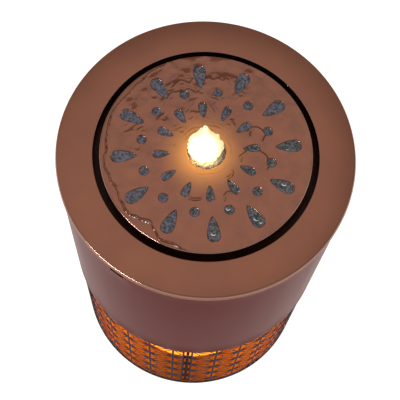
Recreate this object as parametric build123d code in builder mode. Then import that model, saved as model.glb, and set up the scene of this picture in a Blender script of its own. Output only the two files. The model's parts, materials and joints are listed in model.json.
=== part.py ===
"""Tabletop water fountain: a lit, pierced metal drum with a water plate in its rim.

Millimetres, +Z up, origin at the centre of the footprint on the table. The front faces -Y.
The drum has two storeys. The lower one is a lattice tube round a glowing diffuser. The upper
one is a plain skirt that hides a water basin with a submersible pump, whose riser feeds a
nozzle under the centre hole of the lift-out water plate.
"""

import math
import os

from build123d import *

# Whole object
RIM_TOP = 400.0
RIM_R = 127.0
FOOT_HEIGHT = 3.0
SHEET = 1.2  # wall of the pressed metal parts

# Rim ring
RIM_OPENING_R = 95.7
RIM_LIP = 6.5
RIM_INNER_LIP = 5.0
RIM_UNDERSIDE = RIM_TOP - SHEET

# Skirt, the plain upper band
SKIRT_R = 125.8
SKIRT_WALL = 1.1
SKIRT_BOTTOM = 182.0
SLOT_WIDTH = 13.0
SLOT_HEIGHT = 8.0
SLOT_TOP = 390.5
SLOT_ANGLE = 240.0

# Lattice tube: columns of triangular windows, alternate columns half a row apart
LATTICE_R = 124.4
LATTICE_TOP = 194.5
ROW = 33.5
BAR = 2.2
WINDOWS_LOW = 8.6
WINDOWS_HIGH = 187.0
FIRST_NODE = 10.6  # height of the lowest crossing on the column beside the seam
COLUMNS = 30
SEAM_LEFT = -5.6  # degrees from the front; the columns run round the back between the two
SEAM_RIGHT = 3.35
STRIP_LEFT = -0.4
STRIP_LAP = 0.7  # how far the slot's edges cover the strip, both together
PITCH = (360.0 + SEAM_LEFT - SEAM_RIGHT) / COLUMNS
ROWS = math.ceil(WINDOWS_HIGH / ROW)
BLANK_ANGLE = 14.0  # half width of the unpierced patch round the cable grommet
BLANK_TOP = 40.0

# Base and deck, the floors of the two storeys
PAN_R = 123.0
PLATE = 1.5
BASE_TOP = FOOT_HEIGHT + PLATE
BASE_FLANGE_TOP = 9.5
DECK_TOP = 195.5
DECK_BOTTOM = DECK_TOP - PLATE
DECK_FLANGE_BOTTOM = 187.5
FOOT_CIRCLE = 82.0
FOOT_R = 9.0
FOOT_STEM_R = 4.0

# Diffuser and the tie rods inside it
DIFFUSER_R = 93.0
DIFFUSER_WALL = 1.5
TIE_CIRCLE = 84.0
TIE_R = 2.5
TIES = 3

# Lower light: a ring board with LEDs on spacers
BOARD_BOTTOM = 10.5
BOARD_TOP = 12.1
BOARD_R = 80.0
BOARD_HOLE_R = 45.0
BOARD_SCREW_CIRCLE = 62.0
BOARD_SCREW_R = 1.5
LED_CIRCLE = 72.0

# Basin
BASIN_R = 118.0
BASIN_WALL = 2.2
BASIN_FLOOR = DECK_TOP + BASIN_WALL
BASIN_TOP = 389.0
BASIN_FLANGE_R = 121.5

# Leads: all pass the back of the drum
LEAD_R = 2.5
LEAD_Y = 101.0
LEAD_Z = 240.0
GLAND_R = 6.0
LIGHT_LEAD_R = 1.5
JET_LEAD_Y = 13.0
GROMMET_Z = 18.5
GROMMET_BORE_R = 3.1
GROMMET_NECK_R = 5.0
GROMMET_R = 7.0
GROMMET_FRONT = 126.0
GROMMET_GROOVE = 122.8
GROMMET_BACK = 121.3

# Junction box behind the diffuser
BOX_SIZE = (40.0, 22.0, 20.0)
BOX_FRONT = 94.0
BOX_WALL = 1.6
BOX_TOP = BASE_TOP + BOX_SIZE[2]
LED_LEAD_Z = 8.0

# Water plate: it stands a little proud of the rim
PLATE_R = 90.2
PLATE_TOP = 403.0
PLATE_UNDERSIDE = PLATE_TOP - PLATE
PLATE_LIP = 6.0
PLATE_HOLE_R = 16.3
PETALS = 12
PETAL_ANGLE = 10.3
OUTER_PETAL = (58.7, 80.4, 10.4)  # radius of the tip, radius of the round end, width
INNER_PETAL = (31.2, 45.1, 6.7)
DOT_ANGLE = 25.5
DOT_CIRCLE = 55.5
DOT_R = 3.9
POST_CIRCLE = 76.0
POST_ANGLE = 55.3
POST_R = 5.0
POST_TOP = 395.0

# Riser, nozzle and jet light
RISER_R = 8.0
RISER_BORE_R = 6.2
RISER_TOP = 374.0
NOZZLE_BOTTOM = 366.0
NOZZLE_TOP = 391.0
NOZZLE_R = 11.0
JET_LIGHT_R = 27.0
JET_LIGHT_BOTTOM = 368.0
JET_LIGHT_TOP = 380.0

# Pump: the outlet stands on the drum's axis, so the rotor sits beside it
PUMP_X = -12.0
PUMP_WIDTH = 52.0
PUMP_BOTTOM = 206.0
PUMP_TOP = 256.0
PUMP_TALL = PUMP_TOP - PUMP_BOTTOM
PUMP_Z = (PUMP_BOTTOM + PUMP_TOP) / 2
PUMP_FRONT = -6.0
PUMP_REAR = 40.0
PUMP_WALL = 2.5
ROTOR_Z = 233.0
CHAMBER_R = 16.0
CHAMBER_BACK = 6.0
WELL_R = 9.5
WELL_WALL = 1.8
WELL_END = 30.0
SHAFT_R = 1.25
BUSH_R = 2.5
STEM_R = 3.9
COVER_FRONT = -9.0
COVER_SCREWS = (37.0, 34.0, 2, 2)  # spacing in x and z, then how many
COVER_SCREW_R = 1.4
GRILLE_WALL = 1.8
GRILLE_REAR = -9.3
GRILLE_FRONT = -31.0
FIT = 0.3  # gap between parts that slide on each other
KNOB_R = 2.5
SHUTTER_X = -24.5
SHUTTER_TRAVEL = 20.0
KNOB_Z = 214.0


def y_plane(y):
    """Sketch plane at the given y, drawn in x and z, facing forward."""
    return Plane.XZ.offset(-y)


def drum_plane(radius, degrees):
    """Plane that touches a drum of this radius, degrees from the front towards +X."""
    turn = math.radians(degrees - 90)
    outward = Vector(math.cos(turn), math.sin(turn), 0)
    along = Vector(-math.sin(turn), math.cos(turn), 0)
    return Plane(origin=outward * radius, x_dir=along, z_dir=outward)


def shrunk(corners, margin):
    """The triangle whose sides run margin inside those of the given one."""
    a, b, c = (Vector(*corner) for corner in corners)
    sides = ((b - c).length, (c - a).length, (a - b).length)
    around = sum(sides)
    centre = (a * sides[0] + b * sides[1] + c * sides[2]) * (1 / around)
    scale = 1 - margin * around / (b - a).cross(c - a).length
    return [tuple(centre + (p - centre) * scale) for p in (a, b, c)]


def lattice_windows(width, first, mirrored):
    """Triangular windows of one column: those that point right, then those that point left."""
    side = -1 if mirrored else 1
    left, right = -side * width / 2, side * width / 2
    for row in range(-1, ROWS):
        low = first + row * ROW
        yield (left, low), (left, low + ROW), (right, low + ROW / 2)
        yield (right, low + ROW / 2), (right, low + 1.5 * ROW), (left, low + ROW)


def teardrop(tip, end, width):
    """Petal on the +X axis, pointed at radius tip and round at radius end."""
    shoulder = end - width / 2
    with BuildSketch() as petal:
        with BuildLine():
            ThreePointArc((shoulder, -width / 2), (end, 0), (shoulder, width / 2))
            TangentArc((shoulder, width / 2), (tip, 0), tangent=(-1, 0))
            TangentArc((shoulder, -width / 2), (tip, 0), tangent=(-1, 0))
        make_face()
    return petal.sketch


def rounded_block(width, tall, radius):
    """Outline of the pump's square parts, drawn on a y_plane."""
    with Locations((PUMP_X, PUMP_Z)):
        RectangleRounded(width, tall, radius)


# ---------------------------------------------------------------- drum

with BuildPart() as rim_ring:
    with BuildSketch(Plane.XZ):
        with BuildLine():
            Polyline(
                (RIM_OPENING_R, RIM_TOP),
                (RIM_R, RIM_TOP),
                (RIM_R, RIM_TOP - RIM_LIP),
                (RIM_R - 1.0, RIM_TOP - RIM_LIP),
                (RIM_R - 1.0, RIM_UNDERSIDE),
                (RIM_OPENING_R + SHEET, RIM_UNDERSIDE),
                (RIM_OPENING_R + SHEET, RIM_TOP - RIM_INNER_LIP),
                (RIM_OPENING_R, RIM_TOP - RIM_INNER_LIP),
                close=True,
            )
        make_face()
    revolve(axis=Axis.Z)
    top_edges = rim_ring.edges().group_by(Axis.Z)[-1].sort_by(SortBy.LENGTH)
    fillet(top_edges[-1], radius=2.2)
    fillet(rim_ring.edges().group_by(Axis.Z)[-1].sort_by(SortBy.LENGTH)[0], radius=1.0)
rim_ring.part.label = "rim_ring"

CLIP_WIDTH = 14.0
CLIP_R = 124.0
with BuildPart() as rim_clips:
    with PolarLocations(0, 4, start_angle=45):
        with Locations((CLIP_R - 5.0, 0, RIM_UNDERSIDE - 0.5)):
            Box(10.0, CLIP_WIDTH, 1.0)
        with Locations((CLIP_R - 0.5, 0, RIM_UNDERSIDE - 9.0)):
            Box(1.0, CLIP_WIDTH, 18.0)
rim_clips.part.label = "rim_clips"

with BuildPart() as skirt_band:
    with BuildSketch(Plane.XY.offset(SKIRT_BOTTOM)):
        Circle(SKIRT_R)
        Circle(SKIRT_R - SKIRT_WALL, mode=Mode.SUBTRACT)
    extrude(amount=RIM_UNDERSIDE - 0.2 - SKIRT_BOTTOM)
    with BuildSketch(drum_plane(SKIRT_R - 4, SLOT_ANGLE - 270)):
        with Locations((0, SLOT_TOP - SLOT_HEIGHT / 2)):
            RectangleRounded(SLOT_WIDTH, SLOT_HEIGHT, 1.0)
    extrude(amount=8, mode=Mode.SUBTRACT)
skirt_band.part.label = "skirt_band"

with BuildPart() as lattice_tube:
    # the round wall's own edge lies on a column's boundary at the back, clear of every window
    back_side = drum_plane(0, SEAM_RIGHT + PITCH * COLUMNS / 2).z_dir
    with BuildSketch(Plane(origin=(0, 0, FOOT_HEIGHT), x_dir=back_side, z_dir=(0, 0, 1))):
        Circle(LATTICE_R)
        Circle(LATTICE_R - SHEET, mode=Mode.SUBTRACT)
    extrude(amount=LATTICE_TOP - FOOT_HEIGHT)
    windows_tall = WINDOWS_HIGH - WINDOWS_LOW
    windows_middle = (WINDOWS_HIGH + WINDOWS_LOW) / 2
    column_width = 2 * LATTICE_R * math.sin(math.radians(PITCH / 2))
    for column in range(COLUMNS):
        middle = SEAM_RIGHT + PITCH * (column + 0.5)
        at_back = abs(middle - 180) < BLANK_ANGLE
        with BuildSketch(drum_plane(LATTICE_R - 6, middle)):
            for window in lattice_windows(column_width, FIRST_NODE, column % 2 == 1):
                if not (at_back and min(z for _, z in window) < BLANK_TOP - ROW / 2):
                    Polygon(*shrunk(window, BAR / 2), align=None)
            with Locations((0, windows_middle)):
                Rectangle(column_width, windows_tall, mode=Mode.INTERSECT)
    # beside the seam the pattern is cut off by the strip
    part_column = math.radians(STRIP_LEFT - SEAM_LEFT) * LATTICE_R
    with BuildSketch(drum_plane(LATTICE_R - 6, SEAM_LEFT + PITCH / 2)):
        for window in lattice_windows(column_width, FIRST_NODE, False):
            Polygon(*shrunk(window, BAR / 2), align=None)
        with Locations(((part_column - column_width) / 2, windows_middle)):
            Rectangle(part_column - BAR, windows_tall, mode=Mode.INTERSECT)
    # open slot in front of the seam strip
    strip_arc = math.radians(SEAM_RIGHT - STRIP_LEFT) * LATTICE_R
    strip_middle = (SEAM_RIGHT + STRIP_LEFT) / 2
    with BuildSketch(drum_plane(LATTICE_R - 6, strip_middle)):
        with Locations((0, windows_middle)):
            Rectangle(strip_arc - STRIP_LAP, windows_tall)
    extrude(amount=12, mode=Mode.SUBTRACT)
    with BuildSketch(y_plane(LATTICE_R + 5)):
        with Locations((0, GROMMET_Z)):
            Circle(GROMMET_NECK_R + 0.1)
    extrude(amount=10, mode=Mode.SUBTRACT)
lattice_tube.part.label = "lattice_tube"

STRIP_LOOP = (20.0, 6.6)  # height and width of the loop-shaped opening in each row
LOOP_LINE = 1.7
LOOP_BRIDGE = 1.0
STRIP_R = LATTICE_R - SHEET - 0.2
with BuildPart() as seam_strip:
    with BuildSketch(Plane.XY.offset(WINDOWS_LOW + 3)):
        Circle(STRIP_R)
        Circle(STRIP_R - 1.0, mode=Mode.SUBTRACT)
        with Locations(drum_plane(STRIP_R, strip_middle).origin):
            Rectangle(strip_arc + 3, 12, rotation=strip_middle, mode=Mode.INTERSECT)
    extrude(amount=windows_tall - 6)
    with BuildSketch(drum_plane(STRIP_R - 4, strip_middle)):
        with Locations(*((0, FIRST_NODE + ROW * (row + 0.5)) for row in range(5))):
            SlotOverall(*STRIP_LOOP, rotation=90)
            SlotOverall(
                STRIP_LOOP[0] - 2 * LOOP_LINE,
                STRIP_LOOP[1] - 2 * LOOP_LINE,
                rotation=90,
                mode=Mode.SUBTRACT,
            )
            Rectangle(LOOP_BRIDGE, STRIP_LOOP[0], mode=Mode.SUBTRACT)
    extrude(amount=8, mode=Mode.SUBTRACT)
seam_strip.part.label = "seam_strip"

with BuildPart() as base_plate:
    with BuildSketch(Plane.XY.offset(FOOT_HEIGHT)):
        Circle(PAN_R)
    extrude(amount=BASE_FLANGE_TOP - FOOT_HEIGHT)
    with BuildSketch(Plane.XY.offset(BASE_TOP)):
        Circle(PAN_R - SHEET)
    extrude(amount=BASE_FLANGE_TOP, mode=Mode.SUBTRACT)
    fillet(base_plate.edges().group_by(Axis.Z)[0], radius=1.0)
    with BuildSketch(Plane.XY.offset(FOOT_HEIGHT)):
        with PolarLocations(FOOT_CIRCLE, 4, start_angle=45):
            Circle(FOOT_STEM_R + 0.1)
        with PolarLocations(TIE_CIRCLE, TIES, start_angle=30):
            Circle(TIE_R + 0.1)
        with PolarLocations(BOARD_SCREW_CIRCLE, 4, start_angle=45):
            Circle(BOARD_SCREW_R + 0.05)
    extrude(amount=PLATE, mode=Mode.SUBTRACT)
base_plate.part.label = "base_plate"

with BuildPart() as rubber_feet:
    with BuildSketch(Plane.XY):
        with PolarLocations(FOOT_CIRCLE, 4, start_angle=45):
            Circle(FOOT_R)
    extrude(amount=FOOT_HEIGHT)
    fillet(rubber_feet.edges().group_by(Axis.Z)[0], radius=1.0)
    with BuildSketch(Plane.XY.offset(FOOT_HEIGHT)):
        with PolarLocations(FOOT_CIRCLE, 4, start_angle=45):
            Circle(FOOT_STEM_R)
    extrude(amount=PLATE)
    with BuildSketch(Plane.XY.offset(BASE_TOP)):
        with PolarLocations(FOOT_CIRCLE, 4, start_angle=45):
            Circle(FOOT_STEM_R + 1.5)
    extrude(amount=PLATE, taper=20)
rubber_feet.part.label = "rubber_feet"

with BuildPart() as deck_plate:
    with BuildSketch(Plane.XY.offset(DECK_FLANGE_BOTTOM)):
        Circle(PAN_R)
    extrude(amount=DECK_TOP - DECK_FLANGE_BOTTOM)
    with BuildSketch(Plane.XY.offset(DECK_FLANGE_BOTTOM)):
        Circle(PAN_R - SHEET)
    extrude(amount=DECK_BOTTOM - DECK_FLANGE_BOTTOM, mode=Mode.SUBTRACT)
    fillet(deck_plate.edges().group_by(Axis.Z)[-1], radius=1.0)
    with BuildSketch(Plane.XY.offset(DECK_BOTTOM)):
        with Locations((0, LEAD_Y)):
            Circle(GLAND_R + 0.2)
    extrude(amount=PLATE, mode=Mode.SUBTRACT)
deck_plate.part.label = "deck_plate"

with BuildPart() as basin:
    with BuildSketch(Plane.XY.offset(DECK_TOP)):
        Circle(BASIN_R)
    extrude(amount=BASIN_TOP - DECK_TOP)
    fillet(basin.edges().group_by(Axis.Z)[0], radius=7.0)
    with BuildSketch(Plane.XY.offset(BASIN_TOP - BASIN_WALL)):
        Circle(BASIN_FLANGE_R)
    extrude(amount=BASIN_WALL)
    with BuildSketch(Plane.XY.offset(BASIN_FLOOR)):
        Circle(BASIN_R - BASIN_WALL)
    extrude(amount=BASIN_TOP - BASIN_FLOOR, mode=Mode.SUBTRACT)
    fillet(basin.edges().filter_by(lambda e: abs(e.center().Z - BASIN_FLOOR) < 0.1), radius=5.0)
    with BuildSketch(Plane.XY.offset(DECK_TOP)):
        with Locations((0, LEAD_Y)):
            Circle(GLAND_R + 0.1)
    extrude(amount=BASIN_WALL, mode=Mode.SUBTRACT)
basin.part.label = "basin"

with BuildPart() as diffuser_tube:
    with BuildSketch(Plane.XY.offset(BASE_TOP)):
        Circle(DIFFUSER_R)
        Circle(DIFFUSER_R - DIFFUSER_WALL, mode=Mode.SUBTRACT)
    extrude(amount=DECK_BOTTOM - BASE_TOP)
    with BuildSketch(y_plane(DIFFUSER_R + 2)):
        with Locations((0, BASE_TOP + 4)):
            Rectangle(8, 8)
    extrude(amount=8, mode=Mode.SUBTRACT)
diffuser_tube.part.label = "diffuser_tube"

with BuildPart() as tie_bolts:
    with BuildSketch(Plane.XY.offset(FOOT_HEIGHT)):
        with PolarLocations(TIE_CIRCLE, TIES, start_angle=30):
            Circle(TIE_R)
    extrude(amount=DECK_BOTTOM - 0.2 - FOOT_HEIGHT)
    with BuildSketch(Plane.XY.offset(FOOT_HEIGHT)):
        with PolarLocations(TIE_CIRCLE, TIES, start_angle=30):
            Circle(4.5)
    extrude(amount=-2.0)
    fillet(tie_bolts.edges().group_by(Axis.Z)[0], radius=0.8)
tie_bolts.part.label = "tie_bolts"

with BuildPart() as weld_nuts:
    with BuildSketch(Plane.XY.offset(DECK_BOTTOM - 5)):
        with PolarLocations(TIE_CIRCLE, TIES, start_angle=30):
            RegularPolygon(4.0, 6, major_radius=False)
            Circle(TIE_R + 0.05, mode=Mode.SUBTRACT)
    extrude(amount=5)
weld_nuts.part.label = "weld_nuts"

# ---------------------------------------------------------------- lower light

with BuildPart() as led_board:
    with BuildSketch(Plane.XY.offset(BOARD_BOTTOM)):
        Circle(BOARD_R)
        Circle(BOARD_HOLE_R, mode=Mode.SUBTRACT)
        with PolarLocations(BOARD_SCREW_CIRCLE, 4, start_angle=45):
            Circle(BOARD_SCREW_R + 0.2, mode=Mode.SUBTRACT)
    extrude(amount=BOARD_TOP - BOARD_BOTTOM)
led_board.part.label = "led_board"

with BuildPart() as led_chips:
    with BuildSketch(Plane.XY.offset(BOARD_TOP)):
        with PolarLocations(LED_CIRCLE, 24):
            Rectangle(3.5, 3.5)
    extrude(amount=0.8)
led_chips.part.label = "led_chips"

with BuildPart() as board_spacers:
    with BuildSketch(Plane.XY.offset(BASE_TOP)):
        with PolarLocations(BOARD_SCREW_CIRCLE, 4, start_angle=45):
            Circle(3.5)
            Circle(BOARD_SCREW_R + 0.1, mode=Mode.SUBTRACT)
    extrude(amount=BOARD_BOTTOM - BASE_TOP)
board_spacers.part.label = "board_spacers"

with BuildPart() as board_screws:
    with BuildSketch(Plane.XY.offset(FOOT_HEIGHT + 0.2)):
        with PolarLocations(BOARD_SCREW_CIRCLE, 4, start_angle=45):
            Circle(BOARD_SCREW_R)
    extrude(amount=BOARD_TOP - FOOT_HEIGHT - 0.2)
    with BuildSketch(Plane.XY.offset(BOARD_TOP)):
        with PolarLocations(BOARD_SCREW_CIRCLE, 4, start_angle=45):
            Circle(2.8)
    extrude(amount=2.0)
    fillet(board_screws.edges().group_by(Axis.Z)[-1], radius=0.8)
board_screws.part.label = "board_screws"

TERMINAL_Y = 68.0
TERMINAL_SIZE = (12.0, 8.0)
with BuildPart() as board_terminal:
    with BuildSketch(Plane.XY.offset(BASE_TOP + 0.5)):
        with Locations((0, TERMINAL_Y)):
            RectangleRounded(*TERMINAL_SIZE, 0.8)
    extrude(amount=BOARD_BOTTOM - BASE_TOP - 0.5)
board_terminal.part.label = "board_terminal"

with BuildPart() as led_lead:
    with BuildSketch(y_plane(BOX_FRONT + 3)):
        with Locations((0, LED_LEAD_Z)):
            Circle(LIGHT_LEAD_R)
    extrude(amount=BOX_FRONT + 3 - TERMINAL_Y - TERMINAL_SIZE[1] / 2)
led_lead.part.label = "led_lead"

# ---------------------------------------------------------------- leads and their fittings

BOX_Y = BOX_FRONT + BOX_SIZE[1] / 2
BOX_INSIDE = (BOX_SIZE[0] - 2 * BOX_WALL, BOX_SIZE[1] - 2 * BOX_WALL)
with BuildPart() as junction_box:
    with BuildSketch(Plane.XY.offset(BASE_TOP)):
        with Locations((0, BOX_Y)):
            RectangleRounded(BOX_SIZE[0], BOX_SIZE[1], 2.5)
    extrude(amount=BOX_SIZE[2])
    with BuildSketch(Plane.XY.offset(BASE_TOP + BOX_WALL)):
        with Locations((0, BOX_Y)):
            RectangleRounded(*BOX_INSIDE, 1.0)
    extrude(amount=BOX_SIZE[2], mode=Mode.SUBTRACT)
    with BuildSketch(y_plane(BOX_FRONT + 5)):
        with Locations((0, LED_LEAD_Z)):
            Circle(LIGHT_LEAD_R + 0.05)
    extrude(amount=10, mode=Mode.SUBTRACT)
    with BuildSketch(y_plane(BOX_FRONT + BOX_SIZE[1] + 5)):
        with Locations((0, GROMMET_Z)):
            Circle(GROMMET_BORE_R)
    extrude(amount=10, mode=Mode.SUBTRACT)
junction_box.part.label = "junction_box"

with BuildPart() as junction_lid:
    with BuildSketch(Plane.XY.offset(BOX_TOP)):
        with Locations((0, BOX_Y)):
            RectangleRounded(BOX_SIZE[0], BOX_SIZE[1], 2.5)
    extrude(amount=2)
    fillet(junction_lid.edges().group_by(Axis.Z)[-1], radius=0.8)
    with BuildSketch(Plane.XY.offset(BOX_TOP)):
        with Locations((0, BOX_Y)):
            Rectangle(BOX_INSIDE[0] - 2.4, BOX_INSIDE[1] - 0.4)
            Rectangle(BOX_INSIDE[0] - 5, BOX_INSIDE[1] - 3, mode=Mode.SUBTRACT)
    extrude(amount=-BOX_WALL)
    with BuildSketch(Plane.XY.offset(BOX_TOP - 5)):
        with Locations((0, LEAD_Y)):
            Circle(LEAD_R + 0.05)
    extrude(amount=10, mode=Mode.SUBTRACT)
junction_lid.part.label = "junction_lid"

with BuildPart() as cable_grommet:
    with BuildSketch(Plane.YZ):
        with BuildLine():
            Polyline(
                (GROMMET_FRONT, GROMMET_Z + GROMMET_BORE_R),
                (GROMMET_FRONT, GROMMET_Z + GROMMET_R - 0.5),
                (GROMMET_FRONT - 0.5, GROMMET_Z + GROMMET_R),
                (LATTICE_R + 0.1, GROMMET_Z + GROMMET_R),
                (LATTICE_R + 0.1, GROMMET_Z + GROMMET_NECK_R),
                (GROMMET_GROOVE, GROMMET_Z + GROMMET_NECK_R),
                (GROMMET_GROOVE, GROMMET_Z + GROMMET_R - 0.2),
                (GROMMET_BACK, GROMMET_Z + GROMMET_R - 0.2),
                (GROMMET_BACK, GROMMET_Z + GROMMET_BORE_R),
                close=True,
            )
        make_face()
    revolve(axis=Axis((0, 0, GROMMET_Z), (0, 1, 0)))
cable_grommet.part.label = "cable_grommet"

GLAND_BOTTOM = 184.0
with BuildPart() as basin_gland:
    with BuildSketch(Plane.XY.offset(GLAND_BOTTOM)):
        with Locations((0, LEAD_Y)):
            Circle(GLAND_R)
    extrude(amount=BASIN_FLOOR - GLAND_BOTTOM)
    with BuildSketch(Plane.XY.offset(BASIN_FLOOR)):
        with Locations((0, LEAD_Y)):
            RegularPolygon(7.8, 6, major_radius=True)
    extrude(amount=4)
    with BuildSketch(Plane.XY.offset(BASIN_FLOOR + 4)):
        with Locations((0, LEAD_Y)):
            Circle(6.5)
    extrude(amount=6, taper=15)
    with BuildSketch(Plane.XY.offset(GLAND_BOTTOM)):
        with Locations((0, LEAD_Y)):
            Circle(LEAD_R + 0.05)
    extrude(amount=40, mode=Mode.SUBTRACT)
basin_gland.part.label = "basin_gland"

with BuildPart() as gland_nut:
    with BuildSketch(Plane.XY.offset(DECK_BOTTOM)):
        with Locations((0, LEAD_Y)):
            RegularPolygon(7.5, 6, major_radius=False)
            Circle(GLAND_R + 0.05, mode=Mode.SUBTRACT)
    extrude(amount=-5)
gland_nut.part.label = "gland_nut"

LEAD_BEND_R = 30.0
with BuildPart() as pump_lead:
    with BuildLine():
        FilletPolyline(
            (0, PUMP_REAR + 1, LEAD_Z),
            (0, LEAD_Y, LEAD_Z),
            (0, LEAD_Y, BOX_TOP - 8),
            radius=LEAD_BEND_R,
        )
    with BuildSketch(Plane.XZ.offset(-PUMP_REAR - 1)):
        with Locations((0, LEAD_Z)):
            Circle(LEAD_R)
    sweep()
pump_lead.part.label = "pump_lead"

# ---------------------------------------------------------------- basin, posts and plate

with BuildPart() as plate_posts:
    with BuildSketch(Plane.XY.offset(BASIN_FLOOR)):
        with PolarLocations(POST_CIRCLE, 3, start_angle=POST_ANGLE):
            Circle(9)
    extrude(amount=2)
    fillet(plate_posts.edges().group_by(Axis.Z)[-1], radius=0.8)
    with BuildSketch(Plane.XY.offset(BASIN_FLOOR)):
        with PolarLocations(POST_CIRCLE, 3, start_angle=POST_ANGLE):
            Circle(POST_R)
    extrude(amount=POST_TOP - BASIN_FLOOR)
plate_posts.part.label = "plate_posts"

CAP_TOP = PLATE_UNDERSIDE - 0.2
with BuildPart() as post_caps:
    with BuildSketch(Plane.XY.offset(POST_TOP - 8)):
        with PolarLocations(POST_CIRCLE, 3, start_angle=POST_ANGLE):
            Circle(6.6)
    extrude(amount=CAP_TOP - POST_TOP + 8)
    fillet(post_caps.edges().group_by(Axis.Z)[-1], radius=1.5)
    with BuildSketch(Plane.XY.offset(POST_TOP - 8)):
        with PolarLocations(POST_CIRCLE, 3, start_angle=POST_ANGLE):
            Circle(POST_R + 0.05)
    extrude(amount=8, mode=Mode.SUBTRACT)
post_caps.part.label = "post_caps"

outer_petal = teardrop(*OUTER_PETAL)
inner_petal = teardrop(*INNER_PETAL)
with BuildPart() as water_plate:
    with BuildSketch(Plane.XZ):
        with BuildLine():
            Polyline(
                (PLATE_HOLE_R, PLATE_TOP),
                (PLATE_R, PLATE_TOP),
                (PLATE_R, PLATE_TOP - PLATE_LIP),
                (PLATE_R - PLATE, PLATE_TOP - PLATE_LIP),
                (PLATE_R - PLATE, PLATE_UNDERSIDE),
                (PLATE_HOLE_R + PLATE, PLATE_UNDERSIDE),
                (PLATE_HOLE_R + PLATE, PLATE_TOP - PLATE_LIP),
                (PLATE_HOLE_R, PLATE_TOP - PLATE_LIP),
                close=True,
            )
        make_face()
    revolve(axis=Axis.Z)
    plate_edges = water_plate.edges().group_by(Axis.Z)[-1].sort_by(SortBy.LENGTH)
    fillet(plate_edges[-1], radius=1.4)
    fillet(water_plate.edges().group_by(Axis.Z)[-1].sort_by(SortBy.LENGTH)[0], radius=0.8)
    with BuildSketch(Plane.XY.offset(PLATE_UNDERSIDE)):
        with PolarLocations(0, PETALS, start_angle=PETAL_ANGLE):
            add(outer_petal)
            add(inner_petal)
        with PolarLocations(DOT_CIRCLE, PETALS, start_angle=DOT_ANGLE):
            Circle(DOT_R)
    extrude(amount=PLATE, mode=Mode.SUBTRACT)
water_plate.part.label = "water_plate"

# ---------------------------------------------------------------- riser, nozzle, jet light

with BuildPart() as riser_tube:
    with BuildSketch(Plane.XY.offset(PUMP_TOP + 0.5)):
        Circle(RISER_R)
        Circle(RISER_BORE_R, mode=Mode.SUBTRACT)
    extrude(amount=RISER_TOP - PUMP_TOP - 0.5)
riser_tube.part.label = "riser_tube"

with BuildPart() as nozzle:
    with BuildSketch(Plane.XZ):
        with BuildLine():
            Polyline(
                (RISER_R + 0.1, NOZZLE_BOTTOM),
                (NOZZLE_R, NOZZLE_BOTTOM),
                (NOZZLE_R, NOZZLE_TOP - 8),
                (NOZZLE_R + 2, NOZZLE_TOP - 5),
                (NOZZLE_R + 2, NOZZLE_TOP - 1.5),
                (NOZZLE_R - 1, NOZZLE_TOP),
                (0, NOZZLE_TOP),
                (0, NOZZLE_TOP - 2.5),
                (6.0, NOZZLE_TOP - 2.5),
                (6.0, RISER_TOP),
                (RISER_R + 0.1, RISER_TOP),
                close=True,
            )
        make_face()
    revolve(axis=Axis.Z)
    with BuildSketch(Plane.XY.offset(NOZZLE_TOP - 3)):
        Circle(1.4)
        with PolarLocations(3.8, 6):
            Circle(1.2)
    extrude(amount=4, mode=Mode.SUBTRACT)
nozzle.part.label = "nozzle"

with BuildPart() as jet_light_housing:
    with BuildSketch(Plane.XY.offset(JET_LIGHT_BOTTOM)):
        Circle(JET_LIGHT_R)
        Circle(NOZZLE_R + 0.1, mode=Mode.SUBTRACT)
    extrude(amount=JET_LIGHT_TOP - JET_LIGHT_BOTTOM)
    fillet(jet_light_housing.edges().group_by(Axis.Z)[0].sort_by(SortBy.LENGTH)[-1], radius=2)
    with BuildSketch(Plane.XY.offset(JET_LIGHT_BOTTOM + 3.5)):
        Circle(JET_LIGHT_R - 1.5)
        Circle(NOZZLE_R + 1.7, mode=Mode.SUBTRACT)
    extrude(amount=JET_LIGHT_TOP, mode=Mode.SUBTRACT)
jet_light_housing.part.label = "jet_light_housing"

with BuildPart() as jet_light_board:
    with BuildSketch(Plane.XY.offset(JET_LIGHT_BOTTOM + 3.5)):
        Circle(JET_LIGHT_R - 1.7)
        Circle(NOZZLE_R + 1.9, mode=Mode.SUBTRACT)
    extrude(amount=1.2)
    with BuildSketch(Plane.XY.offset(JET_LIGHT_BOTTOM + 4.7)):
        with PolarLocations(19.0, 12):
            Rectangle(3.5, 3.5)
    extrude(amount=1.0)
jet_light_board.part.label = "jet_light_board"

with BuildPart() as jet_light_lens:
    with BuildSketch(Plane.XY.offset(JET_LIGHT_TOP)):
        Circle(JET_LIGHT_R)
        Circle(NOZZLE_R + 0.1, mode=Mode.SUBTRACT)
    extrude(amount=2)
    fillet(jet_light_lens.edges().group_by(Axis.Z)[-1].sort_by(SortBy.LENGTH)[-1], radius=1)
jet_light_lens.part.label = "jet_light_lens"

with BuildPart() as jet_light_lead:
    with BuildSketch(Plane.XY.offset(PUMP_TOP)):
        with Locations((0, JET_LEAD_Y)):
            Circle(LIGHT_LEAD_R)
    extrude(amount=JET_LIGHT_BOTTOM - PUMP_TOP)
jet_light_lead.part.label = "jet_light_lead"

with BuildSketch() as tie_hole:
    Circle(RISER_R + 0.1)
    with Locations((0, JET_LEAD_Y)):
        Circle(LIGHT_LEAD_R + 0.1)
    make_hull()
with BuildPart() as lead_ties:
    for height in (285.0, 340.0):
        with BuildSketch(Plane.XY.offset(height)):
            add(tie_hole.sketch)
            offset(amount=1.2)
            add(tie_hole.sketch, mode=Mode.SUBTRACT)
        extrude(amount=4)
lead_ties.part.label = "lead_ties"

# ---------------------------------------------------------------- pump

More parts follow.
